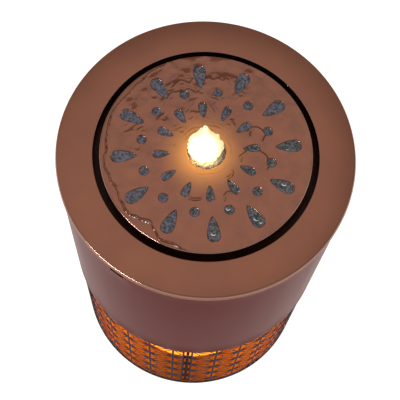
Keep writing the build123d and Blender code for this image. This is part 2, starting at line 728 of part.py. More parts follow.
with BuildPart() as pump_body:
    with BuildSketch(y_plane(PUMP_REAR)):
        rounded_block(PUMP_WIDTH, PUMP_TALL, 5)
    extrude(amount=PUMP_REAR - PUMP_FRONT)
    # pocket for the motor, open at the rear, round the rotor well
    with BuildSketch(y_plane(PUMP_REAR)):
        rounded_block(PUMP_WIDTH - 2 * PUMP_WALL, PUMP_TALL - 2 * PUMP_WALL, 3)
    extrude(amount=PUMP_REAR - CHAMBER_BACK - 3, mode=Mode.SUBTRACT)
    with BuildSketch(y_plane(WELL_END + 3)):
        with Locations((PUMP_X, ROTOR_Z)):
            Circle(WELL_R + WELL_WALL)
    extrude(amount=WELL_END + 3 - CHAMBER_BACK)
    with BuildSketch(y_plane(WELL_END)):
        with Locations((PUMP_X, ROTOR_Z)):
            Circle(WELL_R)
    extrude(amount=WELL_END - PUMP_FRONT, mode=Mode.SUBTRACT)
    with BuildSketch(y_plane(WELL_END + 2)):
        with Locations((PUMP_X, ROTOR_Z)):
            Circle(BUSH_R + 0.05)
    extrude(amount=4, mode=Mode.SUBTRACT)
    with BuildSketch(y_plane(CHAMBER_BACK)):
        with Locations((PUMP_X, ROTOR_Z)):
            Circle(CHAMBER_R)
    extrude(amount=CHAMBER_BACK - PUMP_FRONT, mode=Mode.SUBTRACT)
    # outlet: a spigot on the drum's axis, fed tangentially from the chamber
    with BuildSketch(Plane.XY.offset(PUMP_TOP)):
        Circle(RISER_BORE_R - 0.1)
    extrude(amount=12)
    with BuildSketch(Plane.XY.offset(ROTOR_Z)):
        Circle(4.2)
    extrude(amount=40, mode=Mode.SUBTRACT)
    with BuildSketch(y_plane(PUMP_FRONT)):
        with Locations((PUMP_X, PUMP_Z)):
            with GridLocations(*COVER_SCREWS):
                Circle(COVER_SCREW_R + 0.05)
    extrude(amount=-7, mode=Mode.SUBTRACT)
pump_body.part.label = "pump_body"

with BuildPart() as pump_rear_cap:
    with BuildSketch(y_plane(PUMP_REAR + 3)):
        rounded_block(PUMP_WIDTH, PUMP_TALL, 5)
    extrude(amount=3)
    fillet(pump_rear_cap.edges().group_by(Axis.Y)[-1], radius=1.2)
    with BuildSketch(y_plane(PUMP_REAR + 3)):
        with Locations((0, LEAD_Z)):
            Circle(5)
    extrude(amount=-7, taper=10)
    with BuildSketch(y_plane(PUMP_REAR + 12)):
        with Locations((0, LEAD_Z)):
            Circle(LEAD_R + 0.05)
    extrude(amount=15, mode=Mode.SUBTRACT)
pump_rear_cap.part.label = "pump_rear_cap"

CORE_LEG = 7.5
CORE_BOTTOM = 211.5
CORE_TOP = 245.0
YOKE_TOP = 217.5
CORE_WIDE = 2 * (WELL_R + WELL_WALL + 0.4 + CORE_LEG)
with BuildPart() as motor_core:
    with BuildSketch(y_plane(28)):
        with Locations((PUMP_X, (CORE_TOP + CORE_BOTTOM) / 2)):
            Rectangle(CORE_WIDE, CORE_TOP - CORE_BOTTOM)
        with Locations((PUMP_X, (CORE_TOP + YOKE_TOP) / 2)):
            Rectangle(CORE_WIDE - 2 * CORE_LEG, CORE_TOP - YOKE_TOP, mode=Mode.SUBTRACT)
    extrude(amount=14)
motor_core.part.label = "motor_core"

with BuildPart() as motor_coil:
    with BuildSketch(Plane.YZ.offset(PUMP_X - 11)):
        with Locations((21, (CORE_BOTTOM + YOKE_TOP) / 2)):
            RectangleRounded(19.5, 11.0, 1.5)
            Rectangle(14.4, YOKE_TOP - CORE_BOTTOM + 0.4, mode=Mode.SUBTRACT)
    extrude(amount=22)
motor_coil.part.label = "motor_coil"

with BuildPart() as pump_cover:
    with BuildSketch(y_plane(PUMP_FRONT)):
        rounded_block(PUMP_WIDTH, PUMP_TALL, 5)
    extrude(amount=PUMP_FRONT - COVER_FRONT)
    # frame that the intake grille pushes on to
    frame_inset = 2 * (GRILLE_WALL + FIT)
    with BuildSketch(y_plane(COVER_FRONT)):
        rounded_block(PUMP_WIDTH - frame_inset, PUMP_TALL - frame_inset, 3)
        with Locations((PUMP_X, PUMP_Z)):
            Rectangle(
                PUMP_WIDTH - frame_inset - 3.2,
                PUMP_TALL - frame_inset - 3.2,
                mode=Mode.SUBTRACT,
            )
    extrude(amount=3)
    # intake eye with a three-armed hub for the front bush
    with BuildSketch(y_plane(PUMP_FRONT)):
        with Locations((PUMP_X, ROTOR_Z)):
            Circle(8)
            Circle(4, mode=Mode.SUBTRACT)
            with PolarLocations(6, 3, start_angle=90):
                Rectangle(5, 1.6, mode=Mode.SUBTRACT)
    extrude(amount=PUMP_FRONT - COVER_FRONT, mode=Mode.SUBTRACT)
    with BuildSketch(y_plane(PUMP_FRONT)):
        with Locations((PUMP_X, ROTOR_Z)):
            Circle(BUSH_R + 0.05)
        with Locations((PUMP_X, PUMP_Z)):
            with GridLocations(*COVER_SCREWS):
                Circle(COVER_SCREW_R + 0.2)
    extrude(amount=PUMP_FRONT - COVER_FRONT, mode=Mode.SUBTRACT)
pump_cover.part.label = "pump_cover"

with BuildPart() as cover_screws:
    with BuildSketch(y_plane(0)):
        with Locations((PUMP_X, PUMP_Z)):
            with GridLocations(*COVER_SCREWS):
                Circle(COVER_SCREW_R)
    extrude(amount=-COVER_FRONT)
    with BuildSketch(y_plane(COVER_FRONT)):
        with Locations((PUMP_X, PUMP_Z)):
            with GridLocations(*COVER_SCREWS):
                Circle(2.6)
    extrude(amount=1.8)
    fillet(cover_screws.edges().group_by(Axis.Y)[0], radius=0.7)
cover_screws.part.label = "cover_screws"

with BuildPart() as rotor_shaft:
    with BuildSketch(y_plane(WELL_END + 1.9)):
        with Locations((PUMP_X, ROTOR_Z)):
            Circle(SHAFT_R)
    extrude(amount=WELL_END + 1.9 - COVER_FRONT)
rotor_shaft.part.label = "rotor_shaft"

with BuildPart() as shaft_bushes:
    for bush_end in (WELL_END + 2, COVER_FRONT + 2):
        with BuildSketch(y_plane(bush_end)):
            with Locations((PUMP_X, ROTOR_Z)):
                Circle(BUSH_R)
                Circle(SHAFT_R + 0.03, mode=Mode.SUBTRACT)
        extrude(amount=2)
shaft_bushes.part.label = "shaft_bushes"

BLADES = 6
IMPELLER_R = 13.5
with BuildPart() as impeller:
    with BuildSketch(y_plane(5)):
        with Locations((PUMP_X, ROTOR_Z)):
            Circle(IMPELLER_R)
    extrude(amount=1.4)
    with BuildSketch(y_plane(WELL_END - 1)):
        with Locations((PUMP_X, ROTOR_Z)):
            Circle(STEM_R)
    extrude(amount=WELL_END - 1 + 4)
    with BuildSketch(y_plane(4)):
        with Locations((PUMP_X, ROTOR_Z)):
            with PolarLocations(8.2, BLADES):
                Rectangle(9.6, 1.3, rotation=18)
    extrude(amount=7)
    with BuildSketch(y_plane(WELL_END)):
        with Locations((PUMP_X, ROTOR_Z)):
            Circle(SHAFT_R + 0.05)
    extrude(amount=50, mode=Mode.SUBTRACT)
impeller.part.label = "impeller"

with BuildPart() as rotor_magnet:
    with BuildSketch(y_plane(WELL_END - 2)):
        with Locations((PUMP_X, ROTOR_Z)):
            Circle(WELL_R - 0.9)
            Circle(STEM_R + 0.02, mode=Mode.SUBTRACT)
    extrude(amount=21)
    chamfer(rotor_magnet.edges().group_by(Axis.Y)[-1].sort_by(SortBy.LENGTH)[-1], length=0.6)
rotor_magnet.part.label = "rotor_magnet"

GRILLE_PITCH = 5.0
SLIT = 2.4
with BuildPart() as intake_grille:
    with BuildSketch(y_plane(GRILLE_REAR)):
        rounded_block(PUMP_WIDTH, PUMP_TALL, 5)
    extrude(amount=GRILLE_REAR - GRILLE_FRONT)
    fillet(intake_grille.edges().group_by(Axis.Y)[0], radius=2.5)
    with BuildSketch(y_plane(GRILLE_REAR)):
        rounded_block(PUMP_WIDTH - 2 * GRILLE_WALL, PUMP_TALL - 2 * GRILLE_WALL, 3.3)
    extrude(amount=GRILLE_REAR - GRILLE_FRONT - GRILLE_WALL, mode=Mode.SUBTRACT)
    with BuildSketch(y_plane(GRILLE_FRONT + 3)):
        with Locations((PUMP_X, 238)):
            with GridLocations(GRILLE_PITCH, 1, 8, 1):
                SlotOverall(20, SLIT, rotation=90)
        # slits that the shutter closes
        with Locations((-1, 218.5)):
            with GridLocations(GRILLE_PITCH, 1, 4, 1):
                SlotOverall(12, SLIT, rotation=90)
        # guide slot of the shutter's knob
        with Locations((SHUTTER_X + SHUTTER_TRAVEL / 2, KNOB_Z)):
            SlotOverall(SHUTTER_TRAVEL + 2 * (KNOB_R + FIT), 2 * (KNOB_R + FIT))
    extrude(amount=5, mode=Mode.SUBTRACT)
    with BuildSketch(Plane.YZ.offset(PUMP_X - 30)):
        with Locations((-20, PUMP_Z)):
            with GridLocations(GRILLE_PITCH, 1, 3, 1):
                SlotOverall(30, SLIT, rotation=90)
    extrude(amount=60, mode=Mode.SUBTRACT)
intake_grille.part.label = "intake_grille"

SHUTTER_FRONT = GRILLE_FRONT + GRILLE_WALL + FIT
with BuildPart() as flow_shutter:
    with BuildSketch(y_plane(SHUTTER_FRONT + 1.5)):
        with Locations((SHUTTER_X, 217)):
            RectangleRounded(22, 15, 1.5)
    extrude(amount=1.5)
    with BuildSketch(y_plane(SHUTTER_FRONT)):
        with Locations((SHUTTER_X, KNOB_Z)):
            Circle(KNOB_R)
    extrude(amount=6)
    fillet(flow_shutter.edges().group_by(Axis.Y)[0], radius=0.8)
flow_shutter.part.label = "flow_shutter"

with BuildPart() as suction_cups:
    for cup_y in (4.0, 32.0):
        for cup_x in (PUMP_X - 17, PUMP_X + 17):
            with BuildSketch(Plane.XY.offset(BASIN_FLOOR)):
                with Locations((cup_x, cup_y)):
                    Circle(8)
            extrude(amount=3, taper=40)
            with BuildSketch(Plane.XY.offset(BASIN_FLOOR)):
                with Locations((cup_x, cup_y)):
                    Circle(3)
            extrude(amount=PUMP_BOTTOM - BASIN_FLOOR)
suction_cups.part.label = "suction_cups"

PIECES = (
    rim_ring,
    rim_clips,
    skirt_band,
    lattice_tube,
    seam_strip,
    base_plate,
    rubber_feet,
    deck_plate,
    basin,
    diffuser_tube,
    tie_bolts,
    weld_nuts,
    led_board,
    led_chips,
    board_spacers,
    board_screws,
    board_terminal,
    led_lead,
    junction_box,
    junction_lid,
    cable_grommet,
    basin_gland,
    gland_nut,
    pump_lead,
    plate_posts,
    post_caps,
    water_plate,
    riser_tube,
    nozzle,
    jet_light_housing,
    jet_light_board,
    jet_light_lens,
    jet_light_lead,
    lead_ties,
    pump_body,
    pump_rear_cap,
    motor_core,
    motor_coil,
    pump_cover,
    cover_screws,
    rotor_shaft,
    shaft_bushes,
    impeller,
    rotor_magnet,
    intake_grille,
    flow_shutter,
    suction_cups,
)

os.makedirs("parts", exist_ok=True)
for piece in PIECES:
    export_step(piece.part, f"parts/{piece.part.label}.step")
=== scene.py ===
"""Looks of the tabletop water fountain: camera, light, finishes, pierced sheet metal and water.

Metres, in the CAD frame. Lengths named _MM are millimetres and are scaled where a mesh is made.
"""

import json
import math

import bpy
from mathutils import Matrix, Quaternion, Vector, noise
from mathutils.geometry import delaunay_2d_cdt


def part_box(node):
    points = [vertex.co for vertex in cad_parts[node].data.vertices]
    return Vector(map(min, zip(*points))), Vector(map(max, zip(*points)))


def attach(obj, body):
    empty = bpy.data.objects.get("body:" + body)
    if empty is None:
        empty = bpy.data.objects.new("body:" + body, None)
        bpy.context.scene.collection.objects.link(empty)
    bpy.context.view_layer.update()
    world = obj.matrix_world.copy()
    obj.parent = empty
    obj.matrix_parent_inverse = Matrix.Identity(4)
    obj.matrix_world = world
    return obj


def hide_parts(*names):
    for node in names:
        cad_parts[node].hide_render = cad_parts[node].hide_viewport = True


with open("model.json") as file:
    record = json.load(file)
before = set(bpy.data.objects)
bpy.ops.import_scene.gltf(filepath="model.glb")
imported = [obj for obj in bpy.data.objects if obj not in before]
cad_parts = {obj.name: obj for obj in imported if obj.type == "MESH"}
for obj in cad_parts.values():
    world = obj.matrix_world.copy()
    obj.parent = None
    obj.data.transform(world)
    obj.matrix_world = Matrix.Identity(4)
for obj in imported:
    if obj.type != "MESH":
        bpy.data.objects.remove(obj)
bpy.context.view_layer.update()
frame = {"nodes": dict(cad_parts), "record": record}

MM = 0.001


# -------------------------------- small helpers


def radii(node):
    """Smallest and largest distance of a CAD node's vertices from the drum's axis, in mm."""
    spans = [math.hypot(v.co.x, v.co.y) / MM for v in frame["nodes"][node].data.vertices]
    return min(spans), max(spans)


def heights(node):
    """Lowest and highest z of a CAD node, in mm."""
    low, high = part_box(node)
    return low.z / MM, high.z / MM


def wobble(x, y, z, size, seed=0.0):
    """Smooth noise from -1 to 1 whose features are about size across."""
    return noise.noise(Vector((x / size + seed, y / size - seed, z / size + 2 * seed)))


def smoothstep(low, high, value):
    t = min(max((value - low) / (high - low), 0.0), 1.0)
    return t * t * (3 - 2 * t)


def along_table(rows, value):
    """Smooth value between the rows (place, value) of a short table, held past its ends."""
    if value <= rows[0][0]:
        return rows[0][1]
    for (a, low), (b, high) in zip(rows, rows[1:]):
        if value <= b:
            return low + (high - low) * smoothstep(a, b, value)
    return rows[-1][1]


def make_object(name, points, faces, sharp=35.0):
    """Mesh object from points in mm, smooth except at edges sharper than the angle given."""
    mesh = bpy.data.meshes.new(name)
    mesh.from_pydata([(x * MM, y * MM, z * MM) for x, y, z in points], [], faces)
    mesh.validate()
    mesh.shade_smooth()
    mesh.set_sharp_from_angle(angle=math.radians(sharp))
    made = bpy.data.objects.new(name, mesh)
    bpy.context.scene.collection.objects.link(made)
    return made


def apply_modifiers(made, sharp=35.0):
    graph = bpy.context.evaluated_depsgraph_get()
    mesh = bpy.data.meshes.new_from_object(made.evaluated_get(graph))
    made.modifiers.clear()
    made.data = mesh
    mesh.shade_smooth()
    mesh.set_sharp_from_angle(angle=math.radians(sharp))


def finish_piece(made, body, slot, material, *nodes):
    """Puts a piece on its body and in its material, in place of the CAD nodes named; slot is not
    used.
    """
    made.data.materials.clear()
    made.data.materials.append(material)
    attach(made, body)
    if nodes:
        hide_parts(*nodes)


def lathe(name, profile, steps=256):
    """Closed profile of (radius, height) points turned round the drum's axis."""
    points, faces = [], []
    for i in range(steps):
        turn = 2 * math.pi * i / steps
        points += [(r * math.sin(turn), -r * math.cos(turn), z) for r, z in profile]
    count = len(profile)
    for i in range(steps):
        a, b = i * count, (i + 1) % steps * count
        for j in range(count):
            k = (j + 1) % count
            faces.append((a + j, b + j, b + k, a + k))
    return make_object(name, points, faces)


def grid_faces(rows, around, upright=False):
    """Faces of a closed grid of rings, facing up from the inner ring, or out of an upright one."""
    faces = []
    for i in range(rows):
        a, b = i * around, (i + 1) * around
        for j in range(around):
            k = (j + 1) % around
            flat = (a + j, b + j, b + k, a + k)
            faces.append((a + j, a + k, b + k, b + j) if upright else flat)
    return faces


def arc(centre, radius, start, end, steps=6):
    """Points of a (radius, height) profile round a centre, angles in degrees."""
    made = []
    for i in range(steps + 1):
        turn = math.radians(start + (end - start) * i / steps)
        made.append((centre[0] + radius * math.cos(turn), centre[1] + radius * math.sin(turn)))
    return made


# -------------------------------- flat outlines


def signed_area(outline):
    """Area of a flat outline, positive when it runs counterclockwise."""
    return sum(a[0] * b[1] - b[0] * a[1] for a, b in zip(outline, outline[1:] + outline[:1])) / 2


def inset(outline, margins):
    """Convex outline, counterclockwise, with each side moved inwards by its margin."""
    lines = []
    for i, a in enumerate(outline):
        b = outline[(i + 1) % len(outline)]
        length = math.hypot(b[0] - a[0], b[1] - a[1])
        along = ((b[0] - a[0]) / length, (b[1] - a[1]) / length)
        lines.append(((a[0] - along[1] * margins[i], a[1] + along[0] * margins[i]), along))
    made = []
    for i in range(len(lines)):
        (p, d), (q, e) = lines[i - 1], lines[i]
        cross = d[0] * e[1] - d[1] * e[0]
        t = ((q[0] - p[0]) * e[1] - (q[1] - p[1]) * e[0]) / cross
        made.append((p[0] + d[0] * t, p[1] + d[1] * t))
    return made


def clip_side(outline, axis, limit, keep_above):
    """The part of a convex outline on one side of a line of constant x (axis 0) or y (axis 1)."""
    made = []
    for i, b in enumerate(outline):
        a = outline[i - 1]
        inside_a = (a[axis] >= limit) == keep_above
        inside_b = (b[axis] >= limit) == keep_above
        if inside_a != inside_b:
            t = (limit - a[axis]) / (b[axis] - a[axis])
            made.append((a[0] + (b[0] - a[0]) * t, a[1] + (b[1] - a[1]) * t))
        if inside_b:
            made.append(b)
    return made


def soften(outline, radius, step):
    """Convex outline with its corners cut round and its long sides divided."""
    made = []
    count = len(outline)
    for i, p in enumerate(outline):
        before, after = outline[i - 1], outline[(i + 1) % count]
        legs = []
        for q in (before, after):
            length = math.hypot(q[0] - p[0], q[1] - p[1])
            cut = min(radius, length * 0.3)
            legs.append((p[0] + (q[0] - p[0]) * cut / length, p[1] + (q[1] - p[1]) * cut / length))
        start, end = legs
        middle = tuple((start[k] + end[k]) / 4 + p[k] / 2 for k in range(2))
        made += [start, middle, end]
    divided = []
    for i, a in enumerate(made):
        b = made[(i + 1) % len(made)]
        parts = max(1, round(math.hypot(b[0] - a[0], b[1] - a[1]) / step))
        for k in range(parts):
            divided.append((a[0] + (b[0] - a[0]) * k / parts, a[1] + (b[1] - a[1]) * k / parts))
    return divided


def rectangle(left, right, low, high):
    return [(left, low), (right, low), (right, high), (left, high)]


def circle(centre, radius, steps):
    turns = [2 * math.pi * i / steps for i in range(steps)]
    return [(centre[0] + radius * math.cos(t), centre[1] + radius * math.sin(t)) for t in turns]


def sheet_between(border, holes, loose=()):
    """Flat points and triangles between a border and its holes, all counterclockwise."""
    points = [Vector(p) for p in border]
    loops = [list(range(len(border)))]
    for hole in holes:
        loops.append(list(range(len(points), len(points) + len(hole))))
        points += [Vector(p) for p in hole]
    points += [Vector(p) for p in loose]
    made = delaunay_2d_cdt(points, [], loops, 1, 1e-6)
    triangles = [t for t, source in zip(made[2], made[5]) if list(source) == [0]]
    return [tuple(p) for p in made[0]], triangles


# -------------------------------- camera, floor and light

LENS_MM = 90.57
SENSOR_MM = 36.0
camera_data = bpy.data.cameras.new("view")
camera_data.lens = LENS_MM
camera_data.sensor_width = SENSOR_MM
camera = bpy.data.objects.new("view", camera_data)
bpy.context.scene.collection.objects.link(camera)
RIM_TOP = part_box("rim_ring")[1].z
LOOKS_AT = Vector((-0.00105, -0.04309, RIM_TOP))
CAMERA_PLACE = Vector((0.0, -0.33338, 1.18149))
CAMERA_ROLL = 5.91
camera.location = CAMERA_PLACE
camera.rotation_mode = "QUATERNION"
level = (LOOKS_AT - CAMERA_PLACE).to_track_quat("-Z", "Y")
camera.rotation_quaternion = level @ Quaternion((0, 0, 1), math.radians(CAMERA_ROLL))
bpy.context.scene.camera = camera
bpy.context.scene.view_settings.view_transform = "Standard"

WORLD_COLOUR = (1.0, 0.98, 0.97, 1)
WORLD_STRENGTH = 0.50
world = bpy.data.worlds.new("studio")
world.use_nodes = True
world.node_tree.nodes["Background"].inputs["Color"].default_value = WORLD_COLOUR
world.node_tree.nodes["Background"].inputs["Strength"].default_value = WORLD_STRENGTH
bpy.context.scene.world = world

FLOOR_HALF_MM = 100000.0
floor_material = bpy.data.materials.new("floor_paper")
floor_material.use_nodes = True
floor_shader = floor_material.node_tree.nodes["Principled BSDF"]
floor_shader.inputs["Base Color"].default_value = (0.45, 0.45, 0.45, 1)
floor_shader.inputs["Roughness"].default_value = 0.9
floor_shader.inputs["Emission Color"].default_value = (1, 1, 1, 1)
floor_shader.inputs["Emission Strength"].default_value = 0.85
floor_corners = rectangle(-FLOOR_HALF_MM, FLOOR_HALF_MM, -FLOOR_HALF_MM, FLOOR_HALF_MM)
floor = make_object("floor", [(x, y, 0) for x, y in floor_corners], [(0, 1, 2, 3)])
floor.data.materials.append(floor_material)


def softbox(name, place, target, width, depth, power, colour=(1, 1, 1)):
    data = bpy.data.lights.new(name, "AREA")
    data.shape = "RECTANGLE"
    data.size = width
    data.size_y = depth
    data.energy = power
    data.color = colour
    lamp = bpy.data.objects.new(name, data)
    bpy.context.scene.collection.objects.link(lamp)
    lamp.location = place
    lamp.rotation_mode = "QUATERNION"
    lamp.rotation_quaternion = (Vector(target) - Vector(place)).to_track_quat("-Z", "Y")
    return lamp


TOP = (0, 0, RIM_TOP)
softbox("overhead", (-0.10, 0.36, 1.75), TOP, 1.1, 0.85, 3.7)
softbox("front_left_key", (-1.1, -1.1, 1.2), TOP, 0.9, 0.12, 11.0)
softbox("left_fill", (-1.6, 0.1, 0.9), (0, 0, 0.25), 0.8, 0.8, 1.3)
softbox("right_fill", (1.6, 0.1, 0.9), (0, 0, 0.25), 0.8, 0.8, 1.1)


# -------------------------------- finishes


def add_node(material, kind, inputs, **settings):
    """Adds a shader node. Each input is given a value, or the output that feeds it."""
    tree = material.node_tree
    made = tree.nodes.new("ShaderNode" + kind)
    for setting, value in settings.items():
        setattr(made, setting, value)
    for socket, value in inputs.items():
        if isinstance(value, bpy.types.NodeSocket):
            tree.links.new(value, made.inputs[socket])
        else:
            made.inputs[socket].default_value = value
    return made


def feed(material, socket, output):
    """Links an output to the surface shader's socket."""
    shader = material.node_tree.nodes["Principled BSDF"]
    material.node_tree.links.new(output, shader.inputs[socket])


def ramp(material, value, start, end, low=0.0, high=1.0):
    """Output that goes from low to high as a value goes from start to end, and stops there."""
    ends = {"From Min": start, "From Max": end, "To Min": low, "To Max": high}
    return add_node(material, "MapRange", {"Value": value, **ends}).outputs["Result"]


def mixed(material, factor, first, second):
    """Output between two colours."""
    inputs = {"Factor": factor, "A": first, "B": second}
    return add_node(material, "Mix", inputs, data_type="RGBA").outputs["Result"]


def computed(material, operation, *values):
    """Output of a sum, product or other operation on values and outputs."""
    inputs = dict(enumerate(values))
    return add_node(material, "Math", inputs, operation=operation).outputs["Value"]


def own_place(material):
    """Output that says where a point is in the shared frame, in metres."""
    return add_node(material, "TexCoord", {}).outputs["Object"]


def split_axes(material, vector):
    return add_node(material, "SeparateXYZ", {"Vector": vector}).outputs


# How level a rolled edge is, as the height of its normal: none, full, full, none
FACE_UP, ROLL_HIGH, ROLL_LOW, FACE_OUT = 0.97, 0.85, 0.50, 0.25


def finish(name, colour, other, metallic=0.0, rough=(0.3, 0.4), grain=600.0, bump=0.2,
           bump_depth=0.00005, patches=25.0, spread_by=0.2, stretch=(1, 1, 1), wear_and_highlight=None,
           **sockets):
    """Procedural finish: two tones in patches, and a fine grain in roughness and bump.

    spread_by is how softly the tones meet; the worn colour goes on rolled edges, rubbed smooth,
    and is lighter partly from wear and partly as a painted highlight.
    """
    material = bpy.data.materials.new(name)
    material.use_nodes = True
    place = own_place(material)
    stretched = add_node(material, "Mapping", {"Vector": place, "Scale": stretch})
    slow = add_node(material, "TexNoise", {"Vector": place, "Scale": patches, "Detail": 3})
    grains = {"Vector": stretched.outputs["Vector"], "Scale": grain, "Detail": 2}
    fine = add_node(material, "TexNoise", grains).outputs["Fac"]
    tones = ramp(material, slow.outputs["Fac"], 0.5 - spread_by, 0.5 + spread_by)
    shade = mixed(material, tones, (*colour, 1), (*other, 1))
    gloss = ramp(material, fine, 0.3, 0.7, *rough)
    # Rolled edges get a lighter colour, part wear and part painted highlight, and a smoother
    # roughness
    if wear_and_highlight is not None:
        normal = add_node(material, "NewGeometry", {}).outputs["Normal"]
        level = split_axes(material, normal)["Z"]
        from_face = ramp(material, level, FACE_UP, ROLL_HIGH)
        from_side = ramp(material, level, FACE_OUT, ROLL_LOW)
        rolled = computed(material, "MULTIPLY", from_face, from_side)
        shade = mixed(material, rolled, shade, (*wear_and_highlight, 1))
        rubbed = {"Factor": rolled, "A": gloss, "B": rough[0] / 2}
        gloss = add_node(material, "Mix", rubbed).outputs["Result"]
    relief = {"Strength": bump, "Distance": bump_depth, "Height": fine}
    feed(material, "Base Color", shade)
    feed(material, "Roughness", gloss)
    feed(material, "Normal", add_node(material, "Bump", relief).outputs["Normal"])
    shader = material.node_tree.nodes["Principled BSDF"]
    shader.inputs["Metallic"].default_value = metallic
    for socket, value in sockets.items():
        shader.inputs[socket.replace("_", " ")].default_value = value
    return material


# Copper paint; its lighter rolled edges are partly wear, partly a painted highlight
copper = finish("copper_paint", (0.187, 0.0745, 0.0455), (0.166, 0.067, 0.0435), 1.0,
                (0.30, 0.38), 1400.0, bump=0.08, wear_and_highlight=(0.42, 0.27, 0.22),
                Specular_Tint=(0.9, 0.6, 0.5, 1))
skirt_copper = finish("skirt_paint", (0.058, 0.024, 0.023), (0.053, 0.023, 0.022), 1.0,
                      (0.28, 0.36), 1400.0, bump=0.06, Specular_Tint=(0.64, 0.462, 0.452, 1))
lattice_copper = finish("lattice_paint", (0.062, 0.046, 0.052), (0.052, 0.040, 0.047), 0.9,
                        (0.35, 0.5), 1400.0, Specular_Tint=(0.34, 0.31, 0.36, 1))
# Painted shade: the hem's colour is much darker than the lattice's, for the drum's own shadow
hem_shade_finish = finish("hem_painted_shade", (0.030, 0.013, 0.010), (0.022, 0.010, 0.009), 0.8,
                  (0.5, 0.6), 1400.0, Specular_Tint=(0.12, 0.06, 0.05, 1))
strip_dark = finish("strip_paint", (0.060, 0.030, 0.028), (0.045, 0.022, 0.022), 0.9,
                    (0.4, 0.55), 1400.0, Specular_Tint=(0.25, 0.16, 0.15, 1))
# Painted glow: the pan is no lamp, yet its paint gives off a faint orange light
glowing_pan_paint = finish("pan_paint_painted_glow", (0.66, 0.255, 0.008), (0.58, 0.22, 0.006), 0.0, (0.5, 0.65),
                    900.0, Specular_IOR_Level=0.0, Emission_Color=(1.0, 0.30, 0.01, 1),
                    Emission_Strength=0.12)
wet_copper_painted_glow = finish("wet_copper_painted_glow", (0.152, 0.046, 0.020), (0.122, 0.037, 0.016), 0.9,
                    (0.20, 0.28), 170.0, bump=0.35, bump_depth=0.0004, patches=60.0,
                    Specular_Tint=(0.8, 0.5, 0.4, 1), Coat_Weight=1.0,
                    Coat_Roughness=0.03, Coat_IOR=1.33)
# Dark water in the openings; its lighter grey-blue patches are a painted reflection of the studio
calm_water_painted_reflection = finish("calm_water_painted_reflection", (0.018, 0.018, 0.027), (0.110, 0.100, 0.128), 0.0,
                     (0.05, 0.2), 650.0, bump=0.7, bump_depth=0.0006, patches=560.0,
                     spread_by=0.10, Specular_IOR_Level=0.25, Coat_Weight=0.3,
                     Coat_Roughness=0.03, Coat_IOR=1.33)
churned_water_painted_reflection = finish("churned_water_painted_reflection", (0.005, 0.005, 0.007), (0.100, 0.095, 0.105), 0.0,
                    (0.05, 0.15), 500.0, bump=0.8, bump_depth=0.0007, patches=560.0,
                    spread_by=0.09, Specular_IOR_Level=0.25, Coat_Weight=0.4,
                    Coat_Roughness=0.03, Coat_IOR=1.33)


JET_SHIFT = (0.0025, 0.0030, 0)  # from the jet's lit middle to the drum's axis
GLOW_POWER = 2.6


def add_glow(material, near, far, strength, least, colour):
    """Glow painted into water: light that fades outwards from the jet's middle between two radii
    in metres.
    """
    flat = {0: own_place(material), 1: (1, 1, 0)}
    level = add_node(material, "VectorMath", flat, operation="MULTIPLY").outputs["Vector"]
    shift = {0: level, 1: JET_SHIFT}
    shifted = add_node(material, "VectorMath", shift, operation="ADD").outputs["Vector"]
    distance = add_node(material, "VectorMath", {0: shifted}, operation="LENGTH")
    fade = ramp(material, distance.outputs["Value"], far, near)
    power = computed(material, "POWER", fade, GLOW_POWER)
    feed(material, "Emission Strength", computed(material, "MULTIPLY_ADD", power, strength, least))
    shader = material.node_tree.nodes["Principled BSDF"]
    shader.inputs["Emission Color"].default_value = (*colour, 1)


def fade_upwards(material, low, high, share):
    """Lets a material's glow fall to a share of its strength between two heights in metres."""
    glow = material.node_tree.nodes["Principled BSDF"].inputs["Emission Strength"].default_value
    height = split_axes(material, own_place(material))["Z"]
    feed(material, "Emission Strength", ramp(material, height, low, high, glow, glow * share))


def paint_shade_near_middle(material, far, near, colour):
    """Painted shade: turns the colour darker towards the plane x = 0, between two distances in
    metres.
    """
    shader = material.node_tree.nodes["Principled BSDF"]
    shade = shader.inputs["Base Color"].links[0].from_socket
    distance = computed(material, "ABSOLUTE", split_axes(material, own_place(material))["X"])
    fade = ramp(material, distance, far, near)
    feed(material, "Base Color", mixed(material, fade, shade, (*colour, 1)))


# Painted glow: the water film round the jet gives off its own orange light, a painted pool of the
# jet's light
add_glow(wet_copper_painted_glow, 0.016, 0.046, 0.55, 0.0, (1.0, 0.40, 0.05))
# Painted shade: a dark colour for the menisci, which turn the light away
meniscus_painted_shade = finish("meniscus_painted_shade", (0.030, 0.010, 0.006), (0.055, 0.018, 0.010), 0.6, (0.25, 0.35),
                  900.0, Specular_Tint=(0.3, 0.15, 0.1, 1))
# Painted highlights: white strips standing in for glints of light on the water
painted_glint = finish("painted_glint", (0.62, 0.60, 0.60), (0.80, 0.80, 0.80), 0.0, (0.15, 0.3), 1500.0,
               bump=0.5, Coat_Weight=0.5, Coat_Roughness=0.05)
basin_water = finish("basin_water", (0.035, 0.010, 0.004), (0.050, 0.015, 0.006), 0.0,
                     (0.3, 0.4), 60.0, bump=0.4, bump_depth=0.002, Specular_IOR_Level=0.05)
foam = finish("foam", (0.20, 0.18, 0.13), (0.46, 0.42, 0.30), 0.0, (0.2, 0.5), 900.0, bump=1.0,
              bump_depth=0.0008, patches=500.0, Coat_Weight=0.6, Coat_Roughness=0.1)
jet_glow = finish("jet_glow", (1.0, 0.86, 0.6), (0.95, 0.74, 0.42), 0.0, (0.1, 0.3), 700.0,
                  bump=0.6, bump_depth=0.0005)
add_glow(jet_glow, 0.0085, 0.0165, 9.0, 0.5, (1.0, 0.66, 0.26))
SLOT_FINISHES = {"copper_paint": copper, "skirt_paint": skirt_copper}


def slot_finish(name, *values, **sockets):
    SLOT_FINISHES[name] = finish(name, *values, **sockets)


